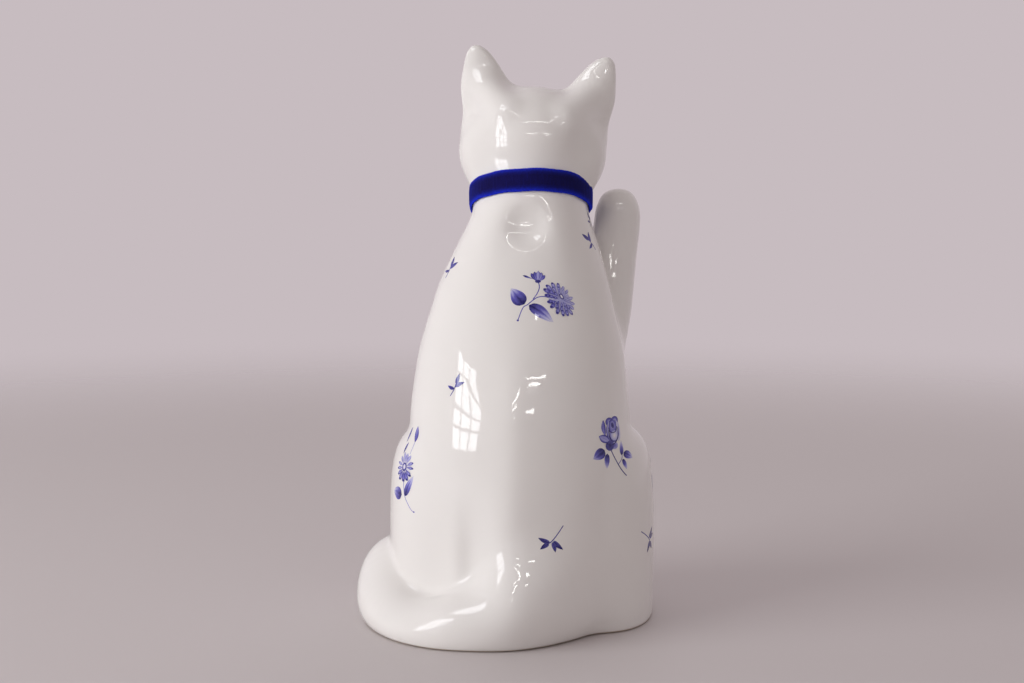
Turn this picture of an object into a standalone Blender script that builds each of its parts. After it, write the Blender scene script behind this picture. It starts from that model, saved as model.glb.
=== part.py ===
"""A seated, beckoning porcelain cat as the potter's castings, with a ribbon collar, a bow and a hanging bell.

The cat looks along -Y, its right side is at -X, and the origin is on the table under the middle of the
base plate. Tables of sections are in millimetres; everything that reaches Blender is in metres.
"""

import math

import bpy
from mathutils import Matrix, Vector

MM = 0.001
GAP = 0.3  # clearance between touching pieces
WALL = 5.0  # thickness of the slip castings
SIDES = 28  # points round the large castings
LIMB_SIDES = 20

# The neck: a round stretch under the ribbon, leaning forward.
NECK = Vector((-2.6, -12.0, 189.5))
NECK_TILT = math.radians(18.5)
NECK_R = 26.2
NECK_UP = Vector((0.0, -math.sin(NECK_TILT), math.cos(NECK_TILT)))
NECK_FRONT = Vector((0.0, -math.cos(NECK_TILT), -math.sin(NECK_TILT)))

# The head: an egg with a slight lean to the cat's right.
HEAD = Vector((-3.8, -19.0, 212.9))
HEAD_R = Vector((33.0, 31.0, 27.4))
HEAD_ROLL = math.radians(-5.3)
MUZZLE = Vector((-3.8, -45.0, 204.0))
MUZZLE_R = Vector((13.0, 8.0, 8.5))

# The ribbon and the bow.
RIBBON_WIDTH = 10.6
RIBBON_R = 26.6
RIBBON_THICK = 1.0
KNOT_SIZE = Vector((7.0, 7.0, 8.2))
KNOT_POWER = 0.6  # below 1 squares the knot's section
BOW_BEND = 95.0  # the loops lean back by x * x over this
BOW_RISE = 0.4

# The foot of the figure.
PLATE_R = 30.0
PLATE_Y = 2.0
PLATE_THICK = 5.0
VENT_Y, VENT_R = 19.0, 5.5
HAUNCH_WALL = 6.0

# The bell and its links.
BELL_R = 6.6
BELL_WALL = 0.6
FLANGE_OUT, FLANGE_THICK, FLANGE_TAPER = 0.6, 0.5, 0.2
SLOT_HALF_WIDTH, SLOT_REACH, SLOT_DROP = 0.8, 4.6, 1.6  # the drop is measured below the bell's middle
HOLE_REACH, HOLE_R, HOLE_DROP = 4.4, 1.5, 3.0
EYE_R, EYE_WIRE = 1.6, 0.40
RING_R, RING_WIRE = 2.5, 0.45
LOOP_R, LOOP_WIRE = 1.8, 0.45
PELLET_R = 2.0
LINK_PLAY = 0.1

# Torso sections: height, centre x, centre y, half width, half depth, lean in degrees.
TORSO = (
    (-6.0, 0.5, 1.0, 34.0, 34.5, 0.0),
    (4.0, 0.7, 3.0, 42.5, 42.5, 0.0),
    (18.0, 1.0, 4.0, 46.0, 44.5, 0.0),
    (45.0, 1.2, 4.0, 48.5, 44.5, 0.0),
    (70.0, 1.7, 3.0, 49.5, 43.5, 0.0),
    (92.0, 2.3, 1.0, 49.4, 42.5, 0.0),
    (111.0, 1.9, -0.5, 47.4, 39.5, 0.0),
    (124.0, 1.6, -1.5, 45.4, 36.8, 0.0),
    (140.0, 0.9, -3.0, 41.4, 33.4, 2.0),
    (152.0, 0.3, -3.6, 38.0, 29.8, 5.0),
    (168.0, -1.2, -7.0, 32.0, 26.8, 11.0),
    (177.5, -2.2, -8.6, 27.9, 26.2, 16.5),
    (183.0, -2.6, -9.8, 26.2, 26.2, 18.5),
    (189.5, -2.6, -12.0, 26.2, 26.2, 18.5),
)
# Haunches: centre and radii of a squared drum on each side.
HAUNCH_X, HAUNCH_Y, HAUNCH_Z = 35.25, -9.0, 30.0
HAUNCH_R = Vector((25.2, 40.0, 57.0))
HAUNCH_POWER = 4.0
HIND_FOOT = Vector((38.5, -49.0, 2.0))
HIND_FOOT_R = Vector((12.5, 18.0, 14.0))
HIND_FOOT_POWER = 2.4
MIDDLE_X = 1.25  # the haunches and hind feet stand evenly about this

# Ear sections above the head's centre: height, offset outwards, y, half width, half thickness.
EAR = (
    (8.0, 21.0, 0.5, 11.0, 7.0),
    (16.0, 22.4, 0.8, 11.6, 6.4),
    (23.0, 23.1, 1.0, 12.0, 5.8),
    (30.0, 25.0, 1.2, 10.2, 4.9),
    (36.0, 27.0, 1.3, 7.7, 3.9),
    (40.5, 28.7, 1.3, 5.1, 2.9),
    (43.6, 29.7, 1.3, 2.2, 1.6),
)
# Limb sections: x, y, z, radius along the reference direction, radius across it.
RAISED_FORELEG = (
    (-27.0, -12.0, 110.0, 13.0, 14.0),
    (-32.5, -19.0, 122.0, 13.6, 15.0),
    (-36.6, -24.5, 136.0, 12.8, 14.2),
    (-39.0, -28.0, 150.0, 12.1, 12.9),
    (-41.3, -30.0, 165.0, 11.3, 11.6),
    (-43.0, -31.5, 176.0, 10.9, 11.6),
    (-43.7, -32.8, 183.5, 10.4, 12.2),
    (-43.5, -33.6, 188.5, 8.4, 10.0),
    (-43.2, -34.0, 191.6, 4.0, 5.0),
)
PLANTED_FORELEG = (
    (12.0, -27.0, 118.0, 12.0, 13.0),
    (13.5, -33.0, 100.0, 13.0, 13.5),
    (14.0, -38.5, 74.0, 12.2, 13.0),
    (14.0, -43.0, 48.0, 11.2, 12.0),
    (14.0, -46.0, 26.0, 10.6, 11.6),
    (13.8, -49.0, 13.5, 11.0, 11.6),
    (13.5, -56.0, 8.6, 11.8, 10.0),
    (13.2, -63.5, 7.2, 10.8, 8.6),
    (13.0, -68.0, 6.6, 6.5, 5.2),
)
TAIL = (
    (-16.0, 22.0, 22.0, 20.0, 16.0),
    (-4.0, 33.0, 18.0, 21.0, 19.5),
    (12.0, 38.5, 11.0, 18.5, 21.0),
    (30.0, 37.0, 5.5, 14.0, 20.0),
    (45.0, 28.0, 5.5, 12.0, 19.5),
    (55.5, 11.0, 9.5, 16.0, 19.2),
    (58.0, -8.0, 14.5, 20.0, 17.8),
    (55.0, -28.0, 13.0, 17.0, 15.5),
    (48.0, -42.0, 10.6, 13.0, 12.0),
    (43.0, -50.0, 8.6, 8.4, 6.8),
)
# Bow sections: x, half depth, half height.
BOW = (
    (-20.5, 2.2, 2.4),
    (-18.8, 2.9, 4.5),
    (-13.5, 3.3, 5.9),
    (-7.5, 2.7, 5.0),
    (-4.6, 1.6, 2.7),
    (0.0, 1.4, 2.1),
    (4.6, 1.6, 2.7),
    (7.5, 2.7, 5.0),
    (13.5, 3.3, 5.9),
    (18.8, 2.9, 4.5),
    (20.5, 2.2, 2.4),
)
KNOT = ((-3.5, 0.82), (-2.7, 0.96), (0.0, 1.0), (2.7, 0.96), (3.5, 0.82))  # x, scale
FAR = 120.0  # beyond the figure on every side
THROUGH = 20.0  # long enough for a cutter to pass right through what it cuts


def clear_scene():
    for obj in list(bpy.data.objects):
        bpy.data.objects.remove(obj, do_unlink=True)


def new_collection(name):
    made = bpy.data.collections.new(name)
    bpy.context.scene.collection.children.link(made)
    return made


def material(name, color, roughness, metallic=0.0):
    made = bpy.data.materials.new(name)
    made.use_nodes = True
    shader = made.node_tree.nodes["Principled BSDF"]
    shader.inputs["Base Color"].default_value = (*color, 1.0)
    shader.inputs["Roughness"].default_value = roughness
    shader.inputs["Metallic"].default_value = metallic
    return made


def catmull_rom(a, b, c, d, t):
    """The value at t, from 0 at b to 1 at c, of the curve through a, b, c and d."""
    return b + 0.5 * t * ((c - a) + t * ((2 * a - 5 * b + 4 * c - d) + t * (3 * b - a - 3 * c + d)))


def smoothed(rows, steps):
    """Rows of numbers joined by a Catmull-Rom curve, with steps rows to each stretch."""
    made = []
    last = len(rows) - 1
    for i in range(last):
        around = [rows[max(i - 1, 0)], rows[i], rows[i + 1], rows[min(i + 2, last)]]
        for step in range(steps):
            t = step / steps
            made.append(tuple(catmull_rom(*values, t) for values in zip(*around)))
    made.append(tuple(rows[-1]))
    return made


def put(name, vertices, faces, home, finish=None):
    mesh = bpy.data.meshes.new(name)
    mesh.from_pydata([tuple(Vector(v) * MM) for v in vertices], [], faces)
    mesh.validate()
    mesh.shade_smooth()
    mesh.set_sharp_from_angle(angle=math.radians(50))
    obj = bpy.data.objects.new(name, mesh)
    home.objects.link(obj)
    if finish:
        mesh.materials.append(finish)
    if home is cutters:
        obj.hide_render = True
        obj.display_type = "WIRE"
    return obj


def loft(name, rings, home, finish=None):
    """A closed body through rings of equal length, each turning anticlockwise seen from the last one."""
    sides = len(rings[0])
    faces = [
        (
            i * sides + j,
            i * sides + (j + 1) % sides,
            (i + 1) * sides + (j + 1) % sides,
            (i + 1) * sides + j,
        )
        for i in range(len(rings) - 1)
        for j in range(sides)
    ]
    faces.append(tuple(reversed(range(sides))))
    faces.append(tuple(range((len(rings) - 1) * sides, len(rings) * sides)))
    return put(name, [v for ring in rings for v in ring], faces, home, finish)


def level_ring(z, x, y, half_width, half_depth, lean, sides):
    """An ellipse round a height, leaning forward by lean degrees about the X direction."""
    angle = math.radians(lean)
    ring = []
    for k in range(sides):
        turn = 2 * math.pi * k / sides
        across = half_width * math.cos(turn)
        back = half_depth * math.sin(turn)
        ring.append(Vector((x + across, y + back * math.cos(angle), z + back * math.sin(angle))))
    return ring


def torso(name, grow, home, finish=None, rows=TORSO):
    grown = [(z, x, y, a + grow, b + grow, lean) for z, x, y, a, b, lean in smoothed(rows, 2)]
    return loft(name, [level_ring(*row, SIDES) for row in grown], home, finish)


def drum(name, centre, radii, power, grow, home, finish=None, rows=12, sides=24):
    """An upright body of elliptical plan whose side view is a superellipse: power 2 is an egg, 4 is squarer."""
    rings = []
    for k in range(rows):
        angle = math.pi * ((k + 0.5) / rows - 0.5)
        spread = abs(math.cos(angle)) ** (2 / power)
        rise = math.copysign(abs(math.sin(angle)) ** (2 / power), angle)
        rings.append(
            level_ring(
                centre.z + (radii.z + grow) * rise,
                centre.x,
                centre.y,
                (radii.x + grow) * spread,
                (radii.y + grow) * spread,
                0.0,
                sides,
            )
        )
    return loft(name, rings, home, finish)


def limb(name, rows, reference, grow, home, finish=None, steps=2):
    """A tapering body along a path, with elliptical sections square to it."""
    rows = smoothed(rows, steps)
    path = [Vector(row[:3]) for row in rows]
    rings = []
    for i, (x, y, z, along, across) in enumerate(rows):
        way = (path[min(i + 1, len(path) - 1)] - path[max(i - 1, 0)]).normalized()
        side = (reference - way * reference.dot(way)).normalized()
        other = way.cross(side)
        rings.append(
            [
                Vector((x, y, z))
                + side * (along + grow) * math.cos(2 * math.pi * k / LIMB_SIDES)
                + other * (across + grow) * math.sin(2 * math.pi * k / LIMB_SIDES)
                for k in range(LIMB_SIDES)
            ]
        )
    return loft(name, rings, home, finish)


def ear(name, side, grow, home, finish=None):
    rows = [
        (HEAD.z + z, HEAD.x + side * x, HEAD.y + y, a + grow, b + grow, 0.0) for z, x, y, a, b in smoothed(EAR, 2)
    ]
    made = loft(name, [level_ring(*row, LIMB_SIDES) for row in rows], home, finish)
    made.data.transform(head_roll())
    return made


def head_roll():
    centre = Matrix.Translation(HEAD * MM)
    return centre @ Matrix.Rotation(HEAD_ROLL, 4, "Y") @ centre.inverted()


def axis_drum(name, points, home, finish=None, sides=SIDES):
    """A body turned about the neck's axis; points are (distance along it, radius)."""
    across = Vector((1.0, 0.0, 0.0))
    back = -NECK_FRONT
    rings = [
        [
            NECK + NECK_UP * along + (across * math.cos(t) + back * math.sin(t)) * radius
            for t in (2 * math.pi * k / sides for k in range(sides))
        ]
        for along, radius in points
    ]
    return loft(name, rings, home, finish)


def adopt(made, name, home, finish=None):
    """Names the object that a primitive has just made and moves it to its collection."""
    made.name = name
    for old in made.users_collection:
        old.objects.unlink(made)
    home.objects.link(made)
    if finish:
        made.data.materials.append(finish)
    if home is cutters:
        made.hide_render = True
        made.display_type = "WIRE"
    return made


def cylinder(name, foot, radius, height, home, finish=None, sides=48):
    """An upright cylinder; foot is the middle of its lower end."""
    centre = (foot + Vector((0.0, 0.0, height / 2))) * MM
    bpy.ops.mesh.primitive_cylinder_add(vertices=sides, radius=radius * MM, depth=height * MM, location=centre)
    return adopt(bpy.context.object, name, home, finish)


def block(name, low, high, home):
    low, high = Vector(low), Vector(high)
    bpy.ops.mesh.primitive_cube_add(size=1.0)
    made = bpy.context.object
    made.data.transform(Matrix.Translation((low + high) / 2 * MM) @ Matrix.Diagonal((*((high - low) * MM), 1.0)))
    return adopt(made, name, home)


def combine(obj, others, operation):
    for other in others:
        modifier = obj.modifiers.new(operation.title() + " " + other.name, "BOOLEAN")
        modifier.operation = operation
        modifier.solver = "EXACT"
        modifier.object = other
    return obj


def cut(obj, *others):
    return combine(obj, others, "DIFFERENCE")


def join(obj, *others):
    return combine(obj, others, "UNION")


def turned(name, profile, centre, home, finish, steps=22):
    """A body turned about a vertical axis through centre, from a closed profile run clockwise seen from -Y."""
    mesh = bpy.data.meshes.new(name)
    count = len(profile)
    mesh.from_pydata(
        [(r * MM, 0.0, z * MM) for r, z in profile],
        [(i, (i + 1) % count) for i in range(count)],
        [],
    )
    obj = bpy.data.objects.new(name, mesh)
    obj.location = centre * MM
    home.objects.link(obj)
    mesh.materials.append(finish)
    screw = obj.modifiers.new("Turn", "SCREW")
    screw.steps = screw.render_steps = steps
    screw.use_merge_vertices = True
    screw.merge_threshold = 0.00001
    screw.use_smooth_shade = True
    return obj


def wire_ring(name, centre, major, minor, turn, home, finish):
    """A ring of round wire; turn is 'X' or 'Y', the direction it faces."""
    rotation = (0.0, math.pi / 2, 0.0) if turn == "X" else (math.pi / 2, 0.0, 0.0)
    bpy.ops.mesh.primitive_torus_add(
        major_radius=major * MM,
        minor_radius=minor * MM,
        major_segments=20,
        minor_segments=6,
        location=centre * MM,
        rotation=rotation,
    )
    made = bpy.context.object
    made.data.shade_smooth()
    return adopt(made, name, home, finish)


clear_scene()
parts = new_collection("porcelain_cat")
cutters = new_collection("cutters")
porcelain = material("glazed_porcelain", (0.86, 0.85, 0.82), 0.08)
biscuit = material("unglazed_biscuit", (0.80, 0.76, 0.70), 0.75)
velvet = material("blue_velvet", (0.012, 0.012, 0.16), 0.9)
brass = material("brass", (0.78, 0.56, 0.22), 0.28, 1.0)

UP = Vector((0.0, 0.0, 1.0))
ACROSS = Vector((1.0, 0.0, 0.0))
FLOOR_CUT = block("below_table", (-FAR, -FAR, -FAR), (FAR, FAR, 0.0), cutters)


def haunches(name, grow, home, finish=None):
    return [
        drum(
            f"{name}_{side_name}",
            Vector((MIDDLE_X + side * HAUNCH_X, HAUNCH_Y, HAUNCH_Z)),
            HAUNCH_R,
            HAUNCH_POWER,
            grow,
            home,
            finish,
        )
        for side_name, side in (("left", 1), ("right", -1))
    ]


def hind_feet(name, grow):
    made = []
    for side_name, side in (("left", 1), ("right", -1)):
        centre = Vector((MIDDLE_X + side * HIND_FOOT.x, HIND_FOOT.y, HIND_FOOT.z))
        made.append(drum(f"{name}_{side_name}", centre, HIND_FOOT_R, HIND_FOOT_POWER, grow, cutters))
    return made


def body_casting():
    body = torso("body_casting", 0.0, parts, porcelain)
    join(body, *haunches("haunch_form", 0.0, cutters), *hind_feet("foot_form", 0.0))
    cut(body, FLOOR_CUT)
    cavity = torso("cavity", -WALL, cutters, rows=TORSO[:-1])
    join(cavity, *haunches("haunch_hollow", -HAUNCH_WALL, cutters))
    cut(cavity, block("floor", (-FAR, -FAR, -FAR), (FAR, FAR, PLATE_THICK), cutters))
    cut(body, cavity)
    plate_hole = cylinder("plate_hole", Vector((0.0, PLATE_Y, -PLATE_THICK)), PLATE_R + GAP, THROUGH, cutters)
    neck_bore = axis_drum("neck_bore", ((-THROUGH, NECK_R - WALL), (THROUGH / 2, NECK_R - WALL)), cutters)
    return cut(body, plate_hole, neck_bore)


def body_outside():
    """The outer form of the body a gap larger, which trims whatever is luted to it."""
    outside = torso("torso_outside", GAP, cutters)
    return [outside, *haunches("haunch_outside", GAP, cutters), *hind_feet("foot_outside", GAP)]


body_casting()
outside = body_outside()

base_plate = cylinder("base_plate", Vector((0.0, PLATE_Y, 0.0)), PLATE_R, PLATE_THICK, parts, biscuit)
cut(base_plate, cylinder("vent", Vector((0.0, VENT_Y, -PLATE_THICK)), VENT_R, THROUGH, cutters, sides=24))


def head_form(name, grow, home, finish=None):
    made = drum(name, HEAD, HEAD_R, 2, grow, home, finish, rows=14, sides=28)
    made.data.transform(head_roll())
    return made


def head_casting():
    head = head_form("head_casting", 0.0, parts, porcelain)
    stub = axis_drum("neck_stub", ((GAP, NECK_R), (8.0, NECK_R), (16.0, NECK_R - WALL)), cutters)
    muzzle = drum("muzzle", MUZZLE, MUZZLE_R, 2, 0.0, cutters, rows=10, sides=24)
    join(head, stub, muzzle)
    hollow = head_form("head_hollow", -WALL, cutters)
    bore = axis_drum("head_bore", ((-THROUGH, NECK_R - WALL), (14.0, NECK_R - WALL)), cutters)
    below_neck = axis_drum("below_neck", ((-THROUGH, FAR), (GAP, FAR)), cutters)
    return cut(head, below_neck, hollow, bore)


head_casting()
head_outside = head_form("head_outside", GAP, cutters)
for name, side in (("left_ear", 1), ("right_ear", -1)):
    cut(ear(name, side, 0.0, parts, porcelain), head_outside)

raised = limb("raised_foreleg", RAISED_FORELEG, ACROSS, 0.0, parts, porcelain)
cut(raised, outside[0])
planted = limb("planted_foreleg", PLANTED_FORELEG, ACROSS, 0.0, parts, porcelain)
cut(planted, *outside, FLOOR_CUT)
tail = limb("tail", TAIL, UP, 0.0, parts, porcelain)
cut(tail, *outside, FLOOR_CUT)


def neck_band(name, inner, outer, width, home, finish):
    """A band round the neck's axis, as a ring of rectangular section."""
    sides = 48
    section = ((-width / 2, outer), (width / 2, outer), (width / 2, inner), (-width / 2, inner))
    rings = []
    for k in range(sides):
        t = 2 * math.pi * k / sides
        out = ACROSS * math.cos(t) - NECK_FRONT * math.sin(t)
        rings.append([NECK + NECK_UP * along + out * radius for along, radius in section])
    count = len(section)
    faces = [
        (
            i * count + j,
            ((i + 1) % sides) * count + j,
            ((i + 1) % sides) * count + (j + 1) % count,
            i * count + (j + 1) % count,
        )
        for i in range(sides)
        for j in range(count)
    ]
    return put(name, [v for ring in rings for v in ring], faces, home, finish)


neck_band("ribbon_collar", RIBBON_R, RIBBON_R + RIBBON_THICK, RIBBON_WIDTH, parts, velvet)

# The bow stands off the front of the band; its knot is a sleeve round the gathered middle of the loops.
THROAT = NECK + NECK_FRONT * (RIBBON_R + RIBBON_THICK + GAP + KNOT_SIZE.y / 2)


def bow_rings(grow):
    """Sections of the loops, which bend back a little round the throat."""
    rings = []
    for x, half_deep, half_tall in smoothed(BOW, 2):
        centre = THROAT + ACROSS * x - NECK_FRONT * (x * x / BOW_BEND) + NECK_UP * BOW_RISE
        rings.append(
            [
                centre
                - NECK_FRONT * (half_deep + grow) * math.cos(t)
                + NECK_UP * (half_tall + grow) * math.sin(t)
                for t in (2 * math.pi * k / 16 for k in range(16))
            ]
        )
    return rings


def squared(value):
    return math.copysign(abs(value) ** KNOT_POWER, value)


def knot_rings():
    rings = []
    for x, scale in KNOT:
        rings.append(
            [
                THROAT
                + ACROSS * x
                - NECK_FRONT * (KNOT_SIZE.y / 2 * scale) * squared(math.cos(t))
                + NECK_UP * (KNOT_SIZE.z / 2 * scale) * squared(math.sin(t))
                for t in (2 * math.pi * k / 20 for k in range(20))
            ]
        )
    return rings


loft("bow_loops", bow_rings(0.0), parts, velvet)
cut(loft("bow_knot", knot_rings(), parts, velvet), loft("bow_outside", bow_rings(GAP), cutters))

# The links and the bell hang plumb below the knot.
HANG_X, HANG_Y = NECK.x, THROAT.y - KNOT_SIZE.y / 2 - EYE_WIRE
EYE_Z = THROAT.z - 4.6
RING_PIVOT_Z = EYE_Z - EYE_R
RING_Z = RING_PIVOT_Z + EYE_WIRE + RING_WIRE + LINK_PLAY - RING_R
BELL_PIVOT_Z = RING_Z - RING_R
LOOP_Z = BELL_PIVOT_Z + RING_WIRE + LOOP_WIRE + LINK_PLAY - LOOP_R
BELL_Z = LOOP_Z - LOOP_R - LOOP_WIRE - GAP - BELL_R


def hanging(z):
    return Vector((HANG_X, HANG_Y, z))


wire_ring("bell_eye", hanging(EYE_Z), EYE_R, EYE_WIRE, "Y", parts, brass)
wire_ring("bell_ring", hanging(RING_Z), RING_R, RING_WIRE, "X", parts, brass)
wire_ring("bell_loop", hanging(LOOP_Z), LOOP_R, LOOP_WIRE, "Y", parts, brass)


def quarter(steps):
    return [math.pi / 2 * k / steps for k in range(steps + 1)]


def shell_profile(sign):
    """Half a bell shell in section, run clockwise: the flange, the inside to the pole and the outside back."""
    steps = 7
    rim, inner_r = GAP / 2, BELL_R - BELL_WALL
    outer = [(BELL_R * math.cos(a), rim + (BELL_R - rim) * math.sin(a)) for a in quarter(steps)]
    inner = [(inner_r * math.cos(a), rim + (inner_r - rim) * math.sin(a)) for a in quarter(steps)]
    edge, top = BELL_R + FLANGE_OUT, rim + FLANGE_THICK
    flange = [(inner_r, rim), (edge, rim), (edge, top), (BELL_R, top + FLANGE_TAPER)]
    points = flange + outer[1:] + inner[:0:-1]
    return [(r, sign * z) for r, z in points][::-sign]


turned("bell_upper_shell", shell_profile(1), hanging(BELL_Z), parts, brass)
lower = turned("bell_lower_shell", shell_profile(-1), hanging(BELL_Z), parts, brass)
BELOW = BELL_Z - 2 * BELL_R
slot = block(
    "slot_cut",
    (HANG_X - SLOT_HALF_WIDTH, HANG_Y - SLOT_REACH, BELOW),
    (HANG_X + SLOT_HALF_WIDTH, HANG_Y + SLOT_REACH, BELL_Z - SLOT_DROP),
    cutters,
)
cut(lower, slot)
for end, side in (("back", 1), ("front", -1)):
    foot = Vector((HANG_X, HANG_Y + side * HOLE_REACH, BELOW))
    cut(lower, cylinder(f"slot_end_{end}", foot, HOLE_R, BELL_Z - HOLE_DROP - BELOW, cutters, sides=16))

PELLET_AT = hanging(BELL_Z - BELL_R + BELL_WALL + PELLET_R + GAP)
bpy.ops.mesh.primitive_uv_sphere_add(segments=14, ring_count=9, radius=PELLET_R * MM, location=PELLET_AT * MM)
bpy.context.object.data.shade_smooth()
adopt(bpy.context.object, "bell_pellet", parts, brass)
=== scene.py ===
"""The finished look of a seated porcelain cat: glaze, flower sprigs, velvet ribbon and brass bell.

The porcelain is one continuous glazed surface. It is worked out as a distance field in which the potter's
castings are blended into each other, then divided again into those castings. Tables are in millimetres.
"""

import math

import bpy
import numpy as np
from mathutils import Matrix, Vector


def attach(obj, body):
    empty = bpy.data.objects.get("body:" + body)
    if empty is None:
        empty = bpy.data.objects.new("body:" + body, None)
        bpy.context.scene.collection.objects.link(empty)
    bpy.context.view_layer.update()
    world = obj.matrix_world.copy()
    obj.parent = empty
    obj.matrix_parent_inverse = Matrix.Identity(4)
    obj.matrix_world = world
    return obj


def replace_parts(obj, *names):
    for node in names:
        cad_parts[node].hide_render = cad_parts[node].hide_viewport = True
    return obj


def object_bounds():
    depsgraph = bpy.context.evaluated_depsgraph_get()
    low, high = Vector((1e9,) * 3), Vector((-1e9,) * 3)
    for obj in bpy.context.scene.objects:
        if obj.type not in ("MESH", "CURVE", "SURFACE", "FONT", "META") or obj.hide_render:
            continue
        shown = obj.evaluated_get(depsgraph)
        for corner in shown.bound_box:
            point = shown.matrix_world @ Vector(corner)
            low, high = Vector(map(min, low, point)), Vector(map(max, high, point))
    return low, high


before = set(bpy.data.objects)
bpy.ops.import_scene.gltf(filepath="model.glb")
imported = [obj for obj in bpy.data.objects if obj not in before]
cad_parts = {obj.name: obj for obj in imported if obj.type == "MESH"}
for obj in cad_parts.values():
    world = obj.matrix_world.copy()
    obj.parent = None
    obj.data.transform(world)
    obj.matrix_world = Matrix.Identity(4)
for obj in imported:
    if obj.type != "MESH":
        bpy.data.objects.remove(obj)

cad_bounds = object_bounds()

MM = 0.001
STEP = 0.9  # spacing of the distance field
EDGE = 4.0  # empty field kept round the figure
FOOT_ROUND = 1.4
PLATE_GAP = 0.3

# ---------------------------------------------------------------- forms of the castings, in millimetres
NECK = np.array([-2.6, -12.0, 189.5])
LEAN = math.radians(18.5)
NECK_UP = np.array([0.0, -math.sin(LEAN), math.cos(LEAN)])
NECK_FRONT = np.array([0.0, -math.cos(LEAN), -math.sin(LEAN)])
HEAD = np.array([-3.8, -19.0, 212.9])
HEAD_ROLL = math.radians(-5.3)
PLATE_Y, PLATE_R, PLATE_THICK = 2.0, 30.0, 5.0

# height, centre x, centre y, half width, half depth, lean in degrees
TORSO = (
    (-6, 0.5, 1, 34, 34.5, 0),
    (4, 0.7, 3, 42.5, 42.5, 0),
    (18, 1, 4, 46, 44.5, 0),
    (45, 1.2, 4, 48.5, 44.5, 0),
    (70, 1.7, 3, 49.5, 43.5, 0),
    (92, 2.3, 1, 49.4, 42.5, 0),
    (111, 1.9, -0.5, 47.4, 39.5, 0),
    (124, 1.6, -1.5, 45.4, 36.8, 0),
    (140, 0.9, -3, 41.4, 33.4, 2),
    (152, 0.3, -3.6, 38, 29.8, 5),
    (168, -1.2, -7, 32, 26.8, 11),
    (177.5, -2.2, -8.6, 27.9, 26.2, 16.5),
    (183, -2.6, -9.8, 26.2, 26.2, 18.5),
    (189.5, -2.6, -12, 26.2, 26.2, 18.5),
    (196.1, -2.6, -14.2, 26.2, 26.2, 18.5),
    (202.8, -2.6, -16.4, 26.2, 26.2, 18.5),
)
HAUNCH = ((36.5, -9, 30), (-34, -9, 30))
HAUNCH_R, HAUNCH_POWER = (25.2, 40, 57), 4
HIND_FOOT = ((39.75, -49, 2), (-37.25, -49, 2))
HIND_FOOT_R, HIND_FOOT_POWER = (12.5, 18, 14), 2.4
# height above the head's centre, offset outwards, y, half width, half thickness
EAR = (
    (8, 21, 0.5, 11, 7),
    (16, 22.4, 0.8, 11.6, 6.4),
    (23, 23.1, 1, 12, 5.8),
    (30, 25, 1.2, 10.2, 4.9),
    (36, 27, 1.3, 7.7, 3.9),
    (40.5, 28.7, 1.3, 5.1, 2.9),
    (43.6, 29.7, 1.3, 2.2, 1.6),
)
# x, y, z, radius along the reference direction, radius across it
RAISED_FORELEG = (
    (-27, -12, 110, 13, 14),
    (-32.5, -19, 122, 13.6, 15),
    (-36.6, -24.5, 136, 12.8, 14.2),
    (-39, -28, 150, 12.1, 12.9),
    (-41.3, -30, 165, 11.3, 11.6),
    (-43, -31.5, 176, 10.9, 11.6),
    (-43.7, -32.8, 183.5, 10.4, 12.2),
    (-43.5, -33.6, 188.5, 8.4, 10),
)
PLANTED_FORELEG = (
    (12, -27, 118, 12, 13),
    (13.5, -33, 100, 13, 13.5),
    (14, -38.5, 74, 12.2, 13),
    (14, -43, 48, 11.2, 12),
    (14, -46, 26, 10.6, 11.6),
    (13.8, -49, 13.5, 11, 11.6),
    (13.5, -56, 8.6, 11.8, 10),
    (13.2, -61.5, 7.2, 10.8, 8.6),
)
TAIL = (
    (-16, 22, 22, 20, 16),
    (-4, 33, 18, 21, 19.5),
    (12, 38.5, 11, 18.5, 21),
    (30, 37, 5.5, 14, 20),
    (45, 28, 5.5, 12, 19.5),
    (55.5, 11, 9.5, 16, 19.2),
    (58, -8, 14.5, 20, 17.8),
    (55, -28, 13, 17, 15.5),
    (48, -42, 10.6, 13, 12),
)
CHEEK_OUT, CHEEK, CHEEK_R = 16.4, (-18, 208.6), (15.8, 19, 16.5)
# centre, radii and fillet of the cranium, the cheeks and the muzzle
HEAD_FORMS = (
    ((-3.8, -18.5, 213.4), (30.5, 30.5, 26.5), 4),
    ((HEAD[0] + CHEEK_OUT, *CHEEK), CHEEK_R, 9),
    ((HEAD[0] - CHEEK_OUT, *CHEEK), CHEEK_R, 9),
    ((-3.8, -45, 204), (13, 8, 8.5), 7),
)
NOSE, NOSE_R = (-3.8, -52, 207.6), (3.2, 2.4, 2.4)
SOCKET_OUT, SOCKET, SOCKET_R, SOCKET_ROOM = 12.5, (-47.5, 214.5), (7.5, 4, 5.5), (8, 6, 6)
EAR_TIP, EAR_CAP = 41, 3
EAR_CUP_SIZE, EAR_CUP_FORWARD = 0.66, 5.6
EAR_BOX = (HEAD + (-46, -10, 0), HEAD + (46, 10, 48))
EAR_CUP_BOX = (HEAD + (-46, -14, 4), HEAD + (46, 4, 48))
EAR_ROOT_BOX = (HEAD + (-40, -10, -4), HEAD + (40, 28, 40))
# the ridge by which an ear runs down the back of the head: outwards, y and height from the head's centre
EAR_ROOT, EAR_ROOT_R = ((25, 1.5, 24.5), (12.5, 18.5, 11.5)), 7.6
# the lines between the toes: the paw's middle, then y and height of a line's two ends
TOE_LINES = (
    (PLANTED_FORELEG[-1][0], (-70.5, 9.5), (-72, 2)),
    (RAISED_FORELEG[-1][0], (-41, 194), (-44.5, 187)),
)
TOE_SPLIT, TOE_LINE_R, TOE_ROOM = 3.4, 0.7, 5
LIMB_END = 1.6  # how much flatter than a ball a limb's end is
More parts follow.
